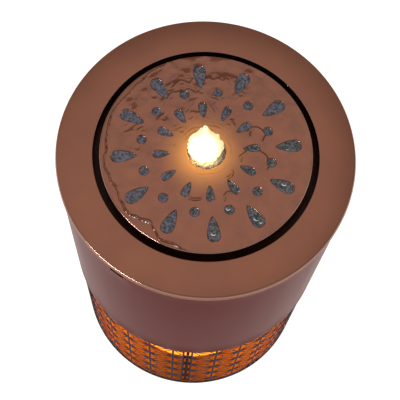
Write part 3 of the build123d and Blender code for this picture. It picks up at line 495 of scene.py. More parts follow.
slot_finish("steel", (0.42, 0.42, 0.43), (0.35, 0.35, 0.37), 1.0, (0.25, 0.4), 900.0,
            stretch=(1, 1, 0.1))
slot_finish("black_plastic", (0.012, 0.012, 0.013), (0.018, 0.018, 0.019), 0.0, (0.45, 0.6),
            1500.0, bump=0.4)
slot_finish("rubber", (0.02, 0.02, 0.02), (0.03, 0.03, 0.03), 0.0, (0.75, 0.9), 1100.0, bump=0.5)
slot_finish("amber_acrylic", (0.80, 0.30, 0.04), (0.74, 0.26, 0.03), 0.0, (0.4, 0.5), 500.0,
            patches=18.0, Emission_Color=(1.0, 0.295, 0.010, 1), Emission_Strength=2.2)
slot_finish("circuit_board", (0.02, 0.12, 0.04), (0.015, 0.09, 0.03), 0.0, (0.3, 0.4), 700.0)
slot_finish("led", (0.9, 0.75, 0.3), (0.85, 0.68, 0.25), 0.0, (0.2, 0.3), 900.0,
            Emission_Color=(1.0, 0.62, 0.2, 1), Emission_Strength=4.0)
slot_finish("white_plastic", (0.75, 0.74, 0.70), (0.70, 0.69, 0.66), 0.0, (0.4, 0.5), 1200.0)
slot_finish("cable", (0.015, 0.015, 0.016), (0.022, 0.022, 0.023), 0.0, (0.5, 0.65), 900.0,
            stretch=(1, 1, 0.2))
slot_finish("clear_tube", (0.75, 0.80, 0.80), (0.70, 0.76, 0.76), 0.0, (0.1, 0.2), 300.0,
            Transmission_Weight=0.7, IOR=1.45)
slot_finish("clear_lens", (0.90, 0.88, 0.80), (0.86, 0.84, 0.76), 0.0, (0.08, 0.15), 300.0,
            Transmission_Weight=0.8, IOR=1.5)
slot_finish("laminated_steel", (0.20, 0.20, 0.21), (0.15, 0.15, 0.16), 0.9, (0.4, 0.6), 1500.0,
            bump=0.8, stretch=(0.05, 1, 0.05))
slot_finish("copper_wire", (0.75, 0.32, 0.16), (0.62, 0.25, 0.12), 1.0, (0.25, 0.4), 1800.0,
            bump=0.8, stretch=(0.05, 1, 1))
slot_finish("ceramic", (0.80, 0.79, 0.76), (0.74, 0.73, 0.70), 0.0, (0.2, 0.3), 1000.0)
slot_finish("ferrite", (0.05, 0.05, 0.055), (0.07, 0.07, 0.075), 0.2, (0.5, 0.7), 1400.0)
slot_finish("clear_rubber", (0.55, 0.56, 0.55), (0.48, 0.50, 0.49), 0.0, (0.4, 0.5), 700.0,
            Transmission_Weight=0.3)
for part in frame["record"]["subparts"]:
    shown = frame["nodes"][part["node"]]
    shown.data.materials.clear()
    shown.data.materials.append(SLOT_FINISHES[part["material_slot"]])
fade_upwards(SLOT_FINISHES["amber_acrylic"], 0.030, 0.185, 0.45)
# Painted shade on the pan, darker towards the plane x = 0
paint_shade_near_middle(glowing_pan_paint, 0.085, 0.010, (0.22, 0.070, 0.004))
frame["nodes"]["base_plate"].data.materials.clear()
frame["nodes"]["base_plate"].data.materials.append(glowing_pan_paint)


# -------------------------------- rim ring

rim_inner_r, rim_r = radii("rim_ring")
rim_low, rim_top = heights("rim_ring")
SHEET_MM = 1.2
ROLL_MM = 1.7
LIP_MM = 5.0
INNER_ROLL_MM = 0.8
INNER_BEND_MM = (0.6, 0.8)
CUT_IN_MM = 0.3
CUT_UP_MM = 0.5
outer = arc((rim_r - ROLL_MM, rim_top - ROLL_MM), ROLL_MM, 90, 0, 8)
outer += [(rim_r, rim_low + CUT_UP_MM), (rim_r - CUT_IN_MM, rim_low)]
outer += [(rim_r - SHEET_MM + CUT_IN_MM, rim_low), (rim_r - SHEET_MM, rim_low + CUT_UP_MM)]
under = arc((rim_r - ROLL_MM, rim_top - ROLL_MM), ROLL_MM - SHEET_MM, 0, 90, 5)
inside = [(rim_inner_r + INNER_ROLL_MM + INNER_BEND_MM[0], rim_top - SHEET_MM)]
inside += [(rim_inner_r + SHEET_MM, rim_top - SHEET_MM - INNER_BEND_MM[1])]
inside += [(rim_inner_r + SHEET_MM, rim_top - LIP_MM), (rim_inner_r, rim_top - LIP_MM)]
inside += arc((rim_inner_r + INNER_ROLL_MM, rim_top - INNER_ROLL_MM), INNER_ROLL_MM, 180, 90, 6)
rim = lathe("rim_pressed", (outer + under + inside)[::-1])
finish_piece(rim, "drum", "copper_paint", copper, "rim_ring")


# -------------------------------- drum sheets, drawn unrolled


def wrapped(name, radius, panels, thickness):
    """Rolls up flat panels (points, triangles) drawn in arc length from the front and height."""
    points, faces, found = [], [], {}
    for flat, triangles in panels:
        places = []
        for s, z in flat:
            turn = s / radius
            point = (radius * math.sin(turn), -radius * math.cos(turn), z)
            key = tuple(round(c * 200) for c in point)
            if key not in found:
                found[key] = len(points)
                points.append(point)
            places.append(found[key])
        faces += [tuple(places[i] for i in t) for t in triangles]
    faces = [f for f in faces if len(set(f)) == 3]
    made = make_object(name, points, faces)
    solid = made.modifiers.new("wall", "SOLIDIFY")
    solid.thickness = thickness * MM
    solid.offset = -1.0
    apply_modifiers(made)
    return made


def panel_border(left, right, low, high, across, tall):
    """Rectangle whose sides are divided evenly, counterclockwise."""
    xs = [left + (right - left) * i / across for i in range(across + 1)]
    zs = [low + (high - low) * i / tall for i in range(tall + 1)]
    made = [(x, low) for x in xs[:-1]] + [(right, z) for z in zs[:-1]]
    return made + [(x, high) for x in xs[:0:-1]] + [(left, z) for z in zs[:0:-1]]


# Skirt with its finger slot
skirt_inner_r, skirt_r = radii("skirt_band")
skirt_low, skirt_top = heights("skirt_band")
SLOT_ANGLE = -30.0
SLOT_MM = (13.0, 8.0)
SLOT_DROP_MM = 8.1
slot_s = math.radians(SLOT_ANGLE) * skirt_r
slot_z = skirt_top - SLOT_DROP_MM - SLOT_MM[1] / 2
slot_outline = soften(
    rectangle(
        slot_s - SLOT_MM[0] / 2,
        slot_s + SLOT_MM[0] / 2,
        slot_z - SLOT_MM[1] / 2,
        slot_z + SLOT_MM[1] / 2,
    ),
    1.0,
    2.0,
)
SKIRT_PANELS = 24
panel_angle = 360 / SKIRT_PANELS
skirt_panels = []
for i in range(SKIRT_PANELS):
    left = math.radians(SLOT_ANGLE + panel_angle * (i - 0.5)) * skirt_r
    right = math.radians(SLOT_ANGLE + panel_angle * (i + 0.5)) * skirt_r
    border = panel_border(left, right, skirt_low, skirt_top, 10, 16)
    skirt_panels.append(sheet_between(border, [slot_outline] if i == 0 else []))
skirt = wrapped("skirt_sleeve", skirt_r, skirt_panels, skirt_r - skirt_inner_r)
finish_piece(skirt, "drum", "skirt_paint", skirt_copper, "skirt_band")

# Lattice sleeve: columns of triangles, each with three spokes to its middle
lattice_r = radii("lattice_tube")[1]
lattice_low, lattice_top = heights("lattice_tube")
ROW_MM = 33.5
BAR_MM = 2.2
DIAGONAL_MM = 1.6
SPOKE_MM = 1.1
WINDOWS_LOW_MM = 8.6
HEM_TOP_MM = 8.3
WINDOWS_HIGH_MM = 187.0
FIRST_NODE_MM = 10.6
COLUMNS = 30
SEAM_LEFT = -5.6
SEAM_RIGHT = 3.35
STRIP_LEFT = -0.4
STRIP_LAP_MM = 0.7
PITCH = (360.0 + SEAM_LEFT - SEAM_RIGHT) / COLUMNS
BLANK_ANGLE = 14.0
BLANK_TOP_MM = 40.0
GROMMET_R_MM = 5.1
LATTICE_WALL_MM = 0.35
LATTICE_ROWS = 6
LEAST_WINDOW_MM2 = 2.0
WINDOW_CORNER_MM = 0.7
column_mm = math.radians(PITCH) * lattice_r


def lattice_windows(left, right, mirrored):
    """Three-cornered openings of one column, three to each triangle of bars."""
    near, far = (right, left) if mirrored else (left, right)
    made = []
    for row in range(-1, LATTICE_ROWS):
        low = FIRST_NODE_MM + row * ROW_MM
        wide = [(near, low), (near, low + ROW_MM), (far, low + ROW_MM / 2)]
        back = [(far, low + ROW_MM / 2), (far, low + 1.5 * ROW_MM), (near, low + ROW_MM)]
        for triangle in (wide, back):
            middle = tuple(sum(p[k] for p in triangle) / 3 for k in range(2))
            for i in range(3):
                corners = [triangle[i], triangle[(i + 1) % 3], middle]
                if signed_area(corners) < 0:
                    corners = [corners[1], corners[0], middle]
                upright = abs(corners[0][0] - corners[1][0]) < 0.1
                side = BAR_MM if upright else DIAGONAL_MM
                small = inset(corners, (side / 2, SPOKE_MM / 2, SPOKE_MM / 2))
                made.append((small, min(p[1] for p in triangle)))
    return made


def lattice_column(left, right, mirrored, keep=None, blank_to=None, extra=()):
    """One column between two arc lengths as flat points and triangles."""
    width = right - left
    pattern_right = left + column_mm
    holes = list(extra)
    for window, lowest in lattice_windows(left, pattern_right, mirrored):
        if blank_to is not None and lowest < blank_to:
            continue
        window = clip_side(window, 1, WINDOWS_LOW_MM, True)
        window = clip_side(window, 1, WINDOWS_HIGH_MM, False) if len(window) > 2 else []
        if keep is not None and len(window) > 2:
            window = clip_side(window, 0, keep, False)
        if len(window) < 3 or abs(signed_area(window)) < LEAST_WINDOW_MM2:
            continue
        holes.append(soften(window, WINDOW_CORNER_MM, 5.0))
    border = panel_border(left, right, HEM_TOP_MM, lattice_top, max(2, round(width / 4)), 40)
    return sheet_between(border, holes)


grommet_s, grommet_z = math.pi * lattice_r, sum(heights("cable_grommet")) / 2
lattice_panels = []
for column in range(COLUMNS):
    left = math.radians(SEAM_RIGHT + PITCH * column) * lattice_r
    at_back = abs(SEAM_RIGHT + PITCH * (column + 0.5) - 180) < BLANK_ANGLE
    blank_to = BLANK_TOP_MM - ROW_MM / 2 if at_back else None
    extra = []
    if left < grommet_s < left + column_mm:
        extra = [circle((grommet_s, grommet_z), GROMMET_R_MM, 32)]
    lattice_panels.append(
        lattice_column(left, left + column_mm, column % 2 == 1, None, blank_to, extra)
    )
seam_s = math.radians(SEAM_LEFT) * lattice_r
slot_left = math.radians(STRIP_LEFT) * lattice_r + STRIP_LAP_MM / 2
slot_right = math.radians(SEAM_RIGHT) * lattice_r - STRIP_LAP_MM / 2
seam_slot = rectangle(slot_left, slot_right, WINDOWS_LOW_MM, WINDOWS_HIGH_MM)
lattice_panels.append(
    lattice_column(
        seam_s,
        math.radians(SEAM_RIGHT) * lattice_r,
        False,
        slot_left - STRIP_LAP_MM / 2 - BAR_MM / 2,
        None,
        [soften(seam_slot, 0.5, 6.0)],
    )
)
lattice = wrapped("lattice_sleeve", lattice_r, lattice_panels, LATTICE_WALL_MM)
finish_piece(lattice, "drum", "copper_paint", lattice_copper, "lattice_tube")

# The solid hem under the windows, painted dark as shade for the drum's own shadow
HEM_MM = 1.2
HEM_CUT_MM = 0.4
hem = lathe(
    "lattice_hem",
    [
        (lattice_r - HEM_MM, lattice_low + HEM_CUT_MM),
        (lattice_r - HEM_MM + HEM_CUT_MM, lattice_low),
        (lattice_r - HEM_CUT_MM, lattice_low),
        (lattice_r, lattice_low + HEM_CUT_MM),
        (lattice_r, HEM_TOP_MM),
        (lattice_r - HEM_MM, HEM_TOP_MM),
    ],
)
finish_piece(hem, "drum", "copper_paint", hem_shade_finish)

# Strip behind the seam's slot: in each row the light shows through the two halves of a loop
strip_r = radii("seam_strip")[1]
strip_low, strip_high = heights("seam_strip")
LOOP_MM = (6.6, 20.0)
LOOP_LINE_MM = 1.7
LOOP_BRIDGE_MM = 1.0
LOOPS = 5
STRIP_WALL_MM = 0.25
STRIP_TUCK_MM = 1.4  # how far the strip reaches behind each edge of the slot
strip_s = math.radians((SEAM_RIGHT + STRIP_LEFT) / 2) * strip_r
strip_half = math.radians(SEAM_RIGHT - STRIP_LEFT) * strip_r / 2 + STRIP_TUCK_MM


def half_loop(middle, side):
    """One side of a long loop's opening, drawn counterclockwise."""
    outer_r = LOOP_MM[0] / 2
    straight = LOOP_MM[1] / 2 - outer_r
    lines = []
    for radius in (outer_r, outer_r - LOOP_LINE_MM):
        first = math.degrees(math.asin(LOOP_BRIDGE_MM / 2 / radius))
        ends = [math.radians(first + (90 - first) * i / 6) for i in range(7)]
        line = [(radius * math.sin(a), straight + radius * math.cos(a)) for a in ends]
        line += [(radius, 0.0)] + [(x, -z) for x, z in line[::-1]]
        lines.append(line)
    drawn = [(strip_s + side * x, middle + z) for x, z in lines[0] + lines[1][::-1]]
    return drawn[::-1] if signed_area(drawn) < 0 else drawn


strip_holes = []
for row in range(LOOPS):
    loop_z = FIRST_NODE_MM + ROW_MM * (row + 0.5)
    strip_holes += [half_loop(loop_z, -1), half_loop(loop_z, 1)]
strip_left, strip_right = strip_s - strip_half, strip_s + strip_half
strip_sheet = sheet_between(
    panel_border(strip_left, strip_right, strip_low, strip_high, 4, 40), strip_holes
)
strip = wrapped("seam_sleeve", strip_r, [strip_sheet], STRIP_WALL_MM)
finish_piece(strip, "drum", "copper_paint", strip_dark, "seam_strip")


# -------------------------------- water plate

plate_inner_r, plate_r = radii("water_plate")
plate_low, plate_top = heights("water_plate")
PLATE_MM = 1.5
PLATE_STEPS = 256
PETALS = 12
PETAL_STEP = 360 / PETALS
PETAL_ANGLE = 10.3
DOT_ANGLE = 25.5
DOT_R_MM = 3.9
DOT_RING_MM = 55.5
OUTER_PETAL_MM = (58.7, 80.4, 10.4)
INNER_PETAL_MM = (31.2, 45.1, 6.7)
PETAL_POWER = 0.85  # how full a petal's sides are


def petal(tip, end, width, turn, grow=0.0):
    """Pointed drop, counterclockwise, its tip towards the middle; grow widens it all round."""
    shoulder = end - width / 2
    half = []
    for i in range(9):
        t = i / 8
        bulge = math.sin(math.pi / 2 * t) ** PETAL_POWER
        half.append((tip + (shoulder - tip) * t, width / 2 * bulge))
    for i in range(1, 8):
        a = math.pi / 2 * (1 - i / 8)
        half.append((shoulder + width / 2 * math.cos(a), width / 2 * math.sin(a)))
    drawn = [(x, -y) for x, y in half] + [(end, 0.0)] + half[:0:-1]
    middle = ((tip + end) / 2, 0.0)
    made = []
    for x, y in drawn:
        dx, dy = x - middle[0], y * (end - tip) / width
        size = math.hypot(dx, dy) or 1.0
        x, y = x + grow * dx / size, y + grow * (1 if y > 0 else -1 if y < 0 else 0)
        c, s = math.cos(turn), math.sin(turn)
        made.append((x * c - y * s, x * s + y * c))
    return made


def plate_openings(grow=0.0):
    """Outlines of the petals and dots."""
    made = []
    for i in range(PETALS):
        turn = math.radians(PETAL_ANGLE + PETAL_STEP * i)
        made.append(petal(*OUTER_PETAL_MM, turn, grow))
        made.append(petal(*INNER_PETAL_MM, turn, grow))
        turn = math.radians(DOT_ANGLE + PETAL_STEP * i)
        centre = (DOT_RING_MM * math.cos(turn), DOT_RING_MM * math.sin(turn))
        made.append(circle(centre, DOT_R_MM + grow, 24))
    return made


def pierced_disc(name, rings, openings, walls):
    """Disc with openings whose edges run down through (grow, drop) steps; rings are its border."""
    top = rings[0][1]
    border = circle((0, 0), rings[0][0], PLATE_STEPS)
    flat, triangles = sheet_between(border, openings(walls[0][0]))
    points = [(x, y, top) for x, y in flat]
    faces = list(triangles)

    def join(loops, inward):
        count = len(loops[0])
        start = len(points)
        for loop in loops:
            points.extend(loop)
        for level in range(len(loops) - 1):
            for i in range(count):
                k = (i + 1) % count
                a, b = start + level * count, start + (level + 1) * count
                face = (a + i, a + k, b + k, b + i)
                faces.append(face if inward else face[::-1])

    levels = []
    for grow, drop in walls:
        levels.append([[(x, y, top - drop) for x, y in hole] for hole in openings(grow)])
    for loops in zip(*levels):
        join(loops, True)
    join([[(x, y, z) for x, y in circle((0, 0), r, PLATE_STEPS)] for r, z in rings], False)
    return make_object(name, points, faces, 50.0)


def plate_and_centre(grow=0.0):
    return plate_openings(grow) + [circle((0, 0), plate_inner_r + grow, 96)]


EDGE_MM = 1.3
rim_roll = arc((plate_r - EDGE_MM, plate_top - EDGE_MM), EDGE_MM, 90, 0, 6)
rim_roll += [(plate_r, plate_low), (plate_r - PLATE_MM, plate_low)]
rim_roll += [(plate_r - PLATE_MM, plate_top - PLATE_MM)]
plate = pierced_disc(
    "plate_pressed",
    rim_roll,
    plate_and_centre,
    [(0.5, 0.0), (0.15, 0.12), (0.0, 0.5), (0.0, PLATE_MM)],
)
# The underside closes the sheet between the rolled rim and the openings
under_border = circle((0, 0), plate_r - PLATE_MM, PLATE_STEPS)
under_flat, under_faces = sheet_between(under_border, plate_and_centre())
underside = make_object(
    "plate_underside",
    [(x, y, plate_top - PLATE_MM) for x, y in under_flat],
    [t[::-1] for t in under_faces],
)
finish_piece(plate, "water_plate", "copper_paint", copper, "water_plate")
finish_piece(underside, "water_plate", "copper_paint", copper)


# -------------------------------- water

# How far the film keeps from the plate's edge: degrees anticlockwise from the right, and mm
DRY_MARGIN = [(118, 0.3), (126, 1.6), (139, 3.6), (150, 4.8), (161, 2.1), (174, 3.4), (185, 5.0),
              (195, 2.4), (203, 4.6), (211, 6.8), (220, 4.7), (227, 3.8), (233, 7.2), (240, 10.5),
              (244, 7.1), (250, 1.8), (257, 2.5), (263, 0.8), (270, 0.3)]
FILM_MM = 0.35
FILM_LEAST_MM = 0.03
FILM_GAP_MM = 0.45  # how far the film's top keeps from a petal or dot
CENTRE_GAP_MM = 0.35
TURN_DOWN_MM = 0.25  # how far its edge runs down into an opening
BEAD_MM = 0.50  # height of the bead along the film's edge
# Ridges are steep outside and gentle inside
RIDGE_OUT_MM = 0.45
RIDGE_IN_MM = 1.8
# Thin curved ridges where bubbles and streams meet: centre x, y, radius, from and to degrees,
# and height
RIDGES = [
    (40.0, 19.0, 7.0, -55, 205, 0.42),
    (40.3, -6.5, 12.2, -25, 190, 0.42),
    (27.5, 34.0, 10.8, 190, 238, 0.42),
    (17.5, -16.5, 6.5, -85, 20, 0.42),
    (24.5, -40.3, 6.2, 40, 212, 0.42),
    (-6.0, -35.3, 9.6, 220, 315, 0.42),
    (-2.0, 10.5, 57.6, 68, 134, 0.24),
    (-20.0, 28.5, 26.0, 60, 150, 0.24),
    (-12.0, 20.5, 14.0, 70, 165, 0.24),
]


def margin_at(x, y):
    """Width in mm of the dry band at the plate's edge, in the direction of (x, y)."""
    turn = math.degrees(math.atan2(y, x)) % 360
    dry = along_table(DRY_MARGIN, turn)
    shake = wobble(x, y, 0, 7.0, 3.1) * 0.8 + wobble(x, y, 0, 3.0, 7.7) * 0.6
    return max(dry + shake * smoothstep(0.4, 4.0, dry), 0.25)


def ridge_radius(size, x, y, cx, cy):
    """Radius of a slightly uneven ridge round (cx, cy) at a place."""
    return size * (1 + 0.08 * wobble(x, y, 0, 6.0, cx)) + 0.8 * wobble(x, y, 0, 4.0, cy)


def film_height(x, y):
    """Height of the water film above the plate, in mm."""
    r = math.hypot(x, y)
    turn = math.degrees(math.atan2(y, x)) % 360
    height = FILM_MM
    # broken ripples that run round the back and left of the jet
    streaky = smoothstep(20, 75, turn) * (1 - smoothstep(195, 250, turn))
    streaky *= smoothstep(19, 28, r) * (1 - smoothstep(70, 86, r))
    phase = 3.2 * wobble(x, y, 0, 17.0, 1.3) + 1.5 * wobble(x, y, 0, 7.0, 5.9)
    broken = smoothstep(-0.35, 0.5, wobble(x, y, 0, 10.0, 9.4))
    crest = 1 - abs(math.sin(math.pi * r / 7.5 + 1.9 * phase))
    height += 0.19 * streaky * broken * crest ** 1.2
    height += 0.07 * streaky * wobble(x, y, 0, 3.4, 2.2)
    # slow swells, highest on the left
    swelling = smoothstep(40, 80, turn) * (1 - smoothstep(235, 262, turn))
    height += (0.14 + 0.30 * swelling) * wobble(x, y, 0, 11.0, 4.4)
    height += 0.06 * wobble(x, y, 0, 5.0, 6.6)
    # fine rings close to the jet
    rings = 0.13 * math.exp(-((r - 20) / 6) ** 2)
    height += rings * math.sin(2 * math.pi * r / 3.6 + wobble(x, y, 0, 9.0, 8.8) * 3)
    for cx, cy, size, start, end, rise in RIDGES:
        d = math.hypot(x - cx, y - cy)
        angle = math.degrees(math.atan2(y - cy, x - cx))
        past = (angle - start) % 360 - (end - start)
        if past <= 0:
            ends = smoothstep(0, 12, -past) * smoothstep(0, 12, past + end - start)
            outside = d - ridge_radius(size, x, y, cx, cy)
            slope = RIDGE_OUT_MM if outside > 0 else RIDGE_IN_MM
            height += rise * ends * math.exp(-((outside / slope) ** 2))
    # a bead stands along the edge of the film where the plate is dry
    dry = along_table(DRY_MARGIN, turn)
    inward = plate_r - margin_at(x, y) - r
    if dry > 1.0:
        beads = 1 + 0.6 * wobble(x, y, 0, 2.0, 0.4)
        height += BEAD_MM * beads * math.exp(-(((inward - 1.0) / 0.7) ** 2))
    height *= smoothstep(-0.2, 0.7, inward)
    return max(height, FILM_LEAST_MM)


FILM_EDGE_MM = 0.8
EDGE_SAMPLE_MM = 4.0  # where the margin is read, in from the plate's edge
film_border = []
for x, y in circle((0, 0), 1.0, 720):
    read_at = plate_r - EDGE_SAMPLE_MM
    far = plate_r - margin_at(x * read_at, y * read_at)
    far = min(far, plate_r - FILM_EDGE_MM)
    film_border.append((x * far, y * far))
FIRST_RING_MM = 17.6
RING_STEP_MM = 0.75
LAST_RING_IN_MM = 1.4
AROUND_STEP_MM = 0.9
film_loose = []
ring = FIRST_RING_MM
while ring < plate_r - LAST_RING_IN_MM:
    around = max(24, round(2 * math.pi * ring / AROUND_STEP_MM))
    for x, y in circle((0, 0), ring, around):
        if ring < plate_r - margin_at(x, y) - 0.5:
            film_loose.append((x, y))
    ring += RING_STEP_MM


def film_openings():
    centre = circle((0, 0), plate_inner_r + CENTRE_GAP_MM, 96)
    return plate_openings(FILM_GAP_MM) + [centre]


# How far loose points of the film keep from a dot or a petal's ends, its sides and its tip, and
# from the centre hole
CLEAR_MM = 1.2
CLEAR_SIDE_MM = 1.0
CLEAR_TIP_MM = 0.6
CLEAR_CENTRE_MM = 0.9


def off_petal(turn):
    """Degrees to the nearest of the evenly spaced petals or dots."""
    return (turn + PETAL_STEP / 2) % PETAL_STEP - PETAL_STEP / 2


def inside_opening(x, y):
    """True where the film is open: over a petal, a dot or the centre hole."""
    r = math.hypot(x, y)
    if r < plate_inner_r + CLEAR_CENTRE_MM:
        return True
    turn = math.degrees(math.atan2(y, x))
    off = math.radians(off_petal(turn - PETAL_ANGLE))
    along, across = r * math.cos(off), r * math.sin(off)
    for tip, end, width in (OUTER_PETAL_MM, INNER_PETAL_MM):
        if tip - CLEAR_MM < along < end + CLEAR_MM:
            t = min(max((along - tip + CLEAR_TIP_MM) / (end - width / 2 - tip), 0.0), 1.0)
            half = width / 2 * math.sin(math.pi / 2 * t) ** PETAL_POWER + CLEAR_SIDE_MM
            if abs(across) < half:
                return True
    off = math.radians(off_petal(turn - DOT_ANGLE))
    return math.hypot(r * math.cos(off) - DOT_RING_MM, r * math.sin(off)) < DOT_R_MM + CLEAR_MM


film_loose = [p for p in film_loose if not inside_opening(*p)]
film_flat, film_faces = sheet_between(film_border, film_openings(), film_loose)


def film_z(x, y):
    return plate_top + film_height(x, y)


film_points = [(x, y, film_z(x, y)) for x, y in film_flat]
film_all = list(film_faces)
# The film's edge turns down over each opening
for low_shape, high_shape in zip(plate_openings(0.1), plate_openings(FILM_GAP_MM)):
    start = len(film_points)
    film_points += [(x, y, film_z(x, y)) for x, y in high_shape]
    film_points += [(x, y, plate_top - TURN_DOWN_MM) for x, y in low_shape]
    count = len(high_shape)
    for i in range(count):
        k = (i + 1) % count
        film_all.append((start + i, start + k, start + count + k, start + count + i))
film = make_object("water_film", film_points, film_all, 60.0)
finish_piece(film, "water_plate", "copper_paint", wet_copper_painted_glow)


def drain_patch(outline, depth, seed):
    """Water that fills an opening just below the plate's top, as points and triangles."""
    xs, ys = zip(*outline)
    centre = (sum(xs) / len(xs), sum(ys) / len(ys))
    loose = []
    for scale in (0.85, 0.7, 0.55, 0.4, 0.25, 0.1):
        for i, (x, y) in enumerate(outline):
            if (i + round(scale * 20)) % 2 == 0:
                out_x, out_y = x - centre[0], y - centre[1]
                loose.append((centre[0] + out_x * scale, centre[1] + out_y * scale))
    flat, triangles = sheet_between(outline, [], loose)
    points = []
    for x, y in flat:
        lump = 0.3 * wobble(x, y, 0, 2.6, seed) + 0.2 * wobble(x, y, 0, 1.2, seed + 4)
        points.append((x, y, plate_top - depth + lump))
    return points, triangles


def fill_openings(name, outlines, depth, material):
    """One piece of water for several openings."""
    points, faces = [], []
    for i, outline in enumerate(outlines):
        patch, triangles = drain_patch(outline, depth, 0.7 * i)
        start = len(points)
        points += patch
        faces += [tuple(start + k for k in t) for t in triangles]
    made = make_object(name, points, faces, 75.0)
    finish_piece(made, "water_plate", "clear_tube", material)


# Openings between these degrees anticlockwise from the right, round the front, hold water that
# stands a little lower, with a darker painted reflection
CHURNED_FROM, CHURNED_TO = 262, 30
calm, churned = [], []
for outline in plate_openings(-0.02):
    x, y = outline[0]
    turn = math.degrees(math.atan2(y, x)) % 360
    (churned if turn > CHURNED_FROM or turn < CHURNED_TO else calm).append(outline)
LEFT_DEPTH_MM, RIGHT_DEPTH_MM = 0.35, 0.45
fill_openings("water_in_left_openings", calm, LEFT_DEPTH_MM, calm_water_painted_reflection)
fill_openings("water_in_right_openings", churned, RIGHT_DEPTH_MM, churned_water_painted_reflection)

# Painted glints: white curved crests where the water turns down the front openings, and white
# beads on the film's edge, stand in for highlights of the lamps.
# Centre x and y of the crest's circle, its radius, from and to degrees, and half width, in mm
CRESTS = [
    (12.8, -71.6, 2.0, 195, 335, 0.42),
    (46.8, -54.6, 2.3, 190, 310, 0.42),
    (50.3, -57.2, 1.7, 225, 340, 0.36),
    (22.8, -48.9, 1.7, 190, 350, 0.40),
    (67.3, -21.6, 2.0, 190, 330, 0.42),
    (-9.6, -59.0, 1.5, 215, 330, 0.22),
    (12.8, 64.9, 1.5, 215, 335, 0.26),
    (67.9, 10.1, 1.2, 215, 330, 0.24),
]
BEADS = [(-56.8, -64.2, 0.5), (-54.6, -65.0, 0.35), (-52.8, -65.5, 0.7), (-50.4, -66.2, 0.35),
         (-46.1, -67.5, 0.55), (-43.2, -68.3, 0.75), (-40.9, -68.9, 0.55), (-25.9, -83.3, 0.4),
         (-17.6, -86.0, 0.45), (-15.9, -86.4, 0.7)]
DOME_SIDES = 10
DOME_FOOT_MM = 0.1


def dome_strip(points, faces, centres, half_width, rise_by, seed):
    """Adds a low rounded strip that tapers at both ends, along (x, y, direction) centres."""
    start = len(points)
    for i, (x, y, along) in enumerate(centres):
        taper = math.sin(math.pi * (i + 0.5) / len(centres)) ** 0.5
        wide = half_width * taper * (1 + 0.35 * wobble(x, y, 0, 0.9, seed))
        across = (-along[1], along[0])
        for j in range(DOME_SIDES + 1):
            a = math.pi * j / DOME_SIDES
            side, rise = wide * math.cos(a), wide * rise_by * math.sin(a)
            px, py = x + across[0] * side, y + across[1] * side
            points.append((px, py, plate_top + DOME_FOOT_MM + rise))
    for i in range(len(centres) - 1):
        for j in range(DOME_SIDES):
            a = start + i * (DOME_SIDES + 1) + j
            b = a + DOME_SIDES + 1
            faces.append((a, a + 1, b + 1, b))


CREST_STEPS = 14
glint_points, glint_faces = [], []
for cx, cy, size, start, end, half_width in CRESTS:
    line = []
    for i in range(CREST_STEPS + 1):
        a = math.radians(start + (end - start) * i / CREST_STEPS)
        along = (-math.sin(a), math.cos(a))
        line.append((cx + size * math.cos(a), cy + size * math.sin(a), along))
    dome_strip(glint_points, glint_faces, line, half_width, 0.9, 2.5)
for x, y, size in BEADS:
    bead = [(x + size * (i - 3) / 3, y, (1.0, 0.0)) for i in range(7)]
    dome_strip(glint_points, glint_faces, bead, size, 0.9, 2.5)
glint_piece = make_object("drain_glints", glint_points, glint_faces, 80.0)
finish_piece(glint_piece, "water_plate", "clear_tube", painted_glint)

# Steep little menisci of the bubbles and streams, which turn the light away; their dark colour is
# painted shade
MENISCUS_HALF_MM = 0.36
MENISCI = 6  # the first ridges in the list
line_points, line_faces = [], []


def add_meniscus(line):
    if len(line) > 4:
        dome_strip(line_points, line_faces, line, MENISCUS_HALF_MM, 1.6, 5.5)


for cx, cy, size, start, end, _ in RIDGES[:MENISCI]:
    steps = max(12, round(size * math.radians(end - start) / 0.8))
    line = []
    for i in range(steps + 1):
        a = math.radians(start + (end - start) * i / steps)
        x, y = cx + size * math.cos(a), cy + size * math.sin(a)
        wavy = ridge_radius(size, x, y, cx, cy)
        x, y = cx + wavy * math.cos(a), cy + wavy * math.sin(a)
        if not inside_opening(x, y):
            line.append((x, y, (-math.sin(a), math.cos(a))))
        else:
            add_meniscus(line)
            line = []
    add_meniscus(line)
menisci = make_object("film_menisci", line_points, line_faces, 80.0)
finish_piece(menisci, "water_plate", "copper_paint", meniscus_painted_shade)

# Water in the basin, seen dark in the gap round the plate
BASIN_WATER_R_MM = 117.4
BASIN_WATER_Z_MM = 383.0
ROUND_RISER_MM = 28.0
RINGS, AROUND = 36, 180
basin_points = []
for i in range(RINGS + 1):
    r = ROUND_RISER_MM + (BASIN_WATER_R_MM - ROUND_RISER_MM) * i / RINGS
    for x, y in circle((0, 0), r, AROUND):
        basin_points.append((x, y, BASIN_WATER_Z_MM + 0.5 * wobble(x, y, 0, 13.0, 2.0)))
pool = make_object("basin_water", basin_points, grid_faces(RINGS, AROUND))
finish_piece(pool, "drum", "clear_tube", basin_water)


# -------------------------------- jet

JET_CENTRE_MM = (-1.5, 3.0)
JET_R_MM = 13.4
JET_FOOT_MM = -7.0  # heights above the plate
JET_TOP_MM = 10.0
JET_LUMPS_MM = 2.2
JET_ROWS, JET_AROUND = 56, 120
SPLASH_BACK_MM, SPLASH_UP_MM = 4.0, 5.5
SPLASH_PLACE_MM, SPLASH_SIZE_MM = (-1.0, 11.0), (3.2, 3.6)


def lumps_at(x, y, z, seed):
    """Noise of three sizes for churning water."""
    return (
        wobble(x, y, z, 5.5, seed)
        + 0.6 * wobble(x, y, z, 2.4, seed + 3)
        + 0.3 * wobble(x, y, z, 1.1, seed + 5)
    )


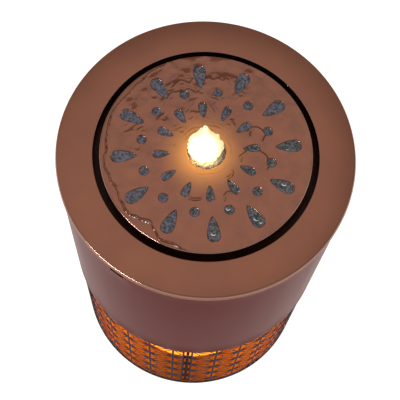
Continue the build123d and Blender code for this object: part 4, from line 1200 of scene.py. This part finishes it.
def jet_mesh(name, centre, base_r, low, high, seed):
    """Steep mound of churning water, lumpy all over, a small splash at the back of its top."""
    points = []
    for i in range(JET_ROWS + 1):
        t = i / JET_ROWS
        lift = math.sin(math.pi / 2 * min(t * 1.25, 1.0)) ** 1.1
        bulge = 1 + 0.07 * math.sin(math.pi * t)
        spread = math.cos(math.pi / 2 * smoothstep(0.35, 1.0, t)) * bulge
        z = low + (high - low) * lift
        for j in range(JET_AROUND):
            a = 2 * math.pi * j / JET_AROUND
            x, y = spread * math.cos(a), spread * math.sin(a)
            rough = JET_LUMPS_MM * lumps_at(x * base_r, y * base_r, z, seed)
            off_x = (x * base_r - SPLASH_PLACE_MM[0]) / SPLASH_SIZE_MM[0]
            off_y = (y * base_r - SPLASH_PLACE_MM[1]) / SPLASH_SIZE_MM[1]
            splash = math.exp(-(off_x ** 2 + off_y ** 2)) * smoothstep(0.3, 0.7, t)
            scale = (base_r + rough) if t < 0.999 else 0.0
            points.append((
                centre[0] + x * scale,
                centre[1] + y * scale * 0.9 + SPLASH_BACK_MM * splash,
                z + rough * 0.8 * smoothstep(0.1, 0.6, t) + SPLASH_UP_MM * splash,
            ))
    return make_object(name, points, grid_faces(JET_ROWS, JET_AROUND, True), 80.0)


jet_low, jet_high = plate_top + JET_FOOT_MM, plate_top + JET_TOP_MM
jet = jet_mesh("jet_water", JET_CENTRE_MM, JET_R_MM, jet_low, jet_high, 2.7)
finish_piece(jet, "drum", "clear_tube", jet_glow)

# Foam round the foot of the jet, inside the centre hole
FOAM_INNER_MM = 8.0
FOAM_GAP_MM = 0.35
FOAM_DROP_MM = 1.6
FOAM_ROWS, FOAM_AROUND = 12, 120
foam_points = []
for i in range(FOAM_ROWS + 1):
    r = FOAM_INNER_MM + (plate_inner_r - FOAM_GAP_MM - FOAM_INNER_MM) * i / FOAM_ROWS
    for x, y in circle((0, 0), r, FOAM_AROUND):
        lump = 0.9 * wobble(x, y, 0, 2.6, 1.9) + 0.5 * wobble(x, y, 0, 1.2, 3.3)
        edge = 1.2 * smoothstep(13.5, 16.3, r)
        foam_points.append((x, y, plate_top - FOAM_DROP_MM + lump - edge))
foam_faces = grid_faces(FOAM_ROWS, FOAM_AROUND)
foam_ring = make_object("jet_foam", foam_points, foam_faces, 80.0)
finish_piece(foam_ring, "drum", "clear_tube", foam)
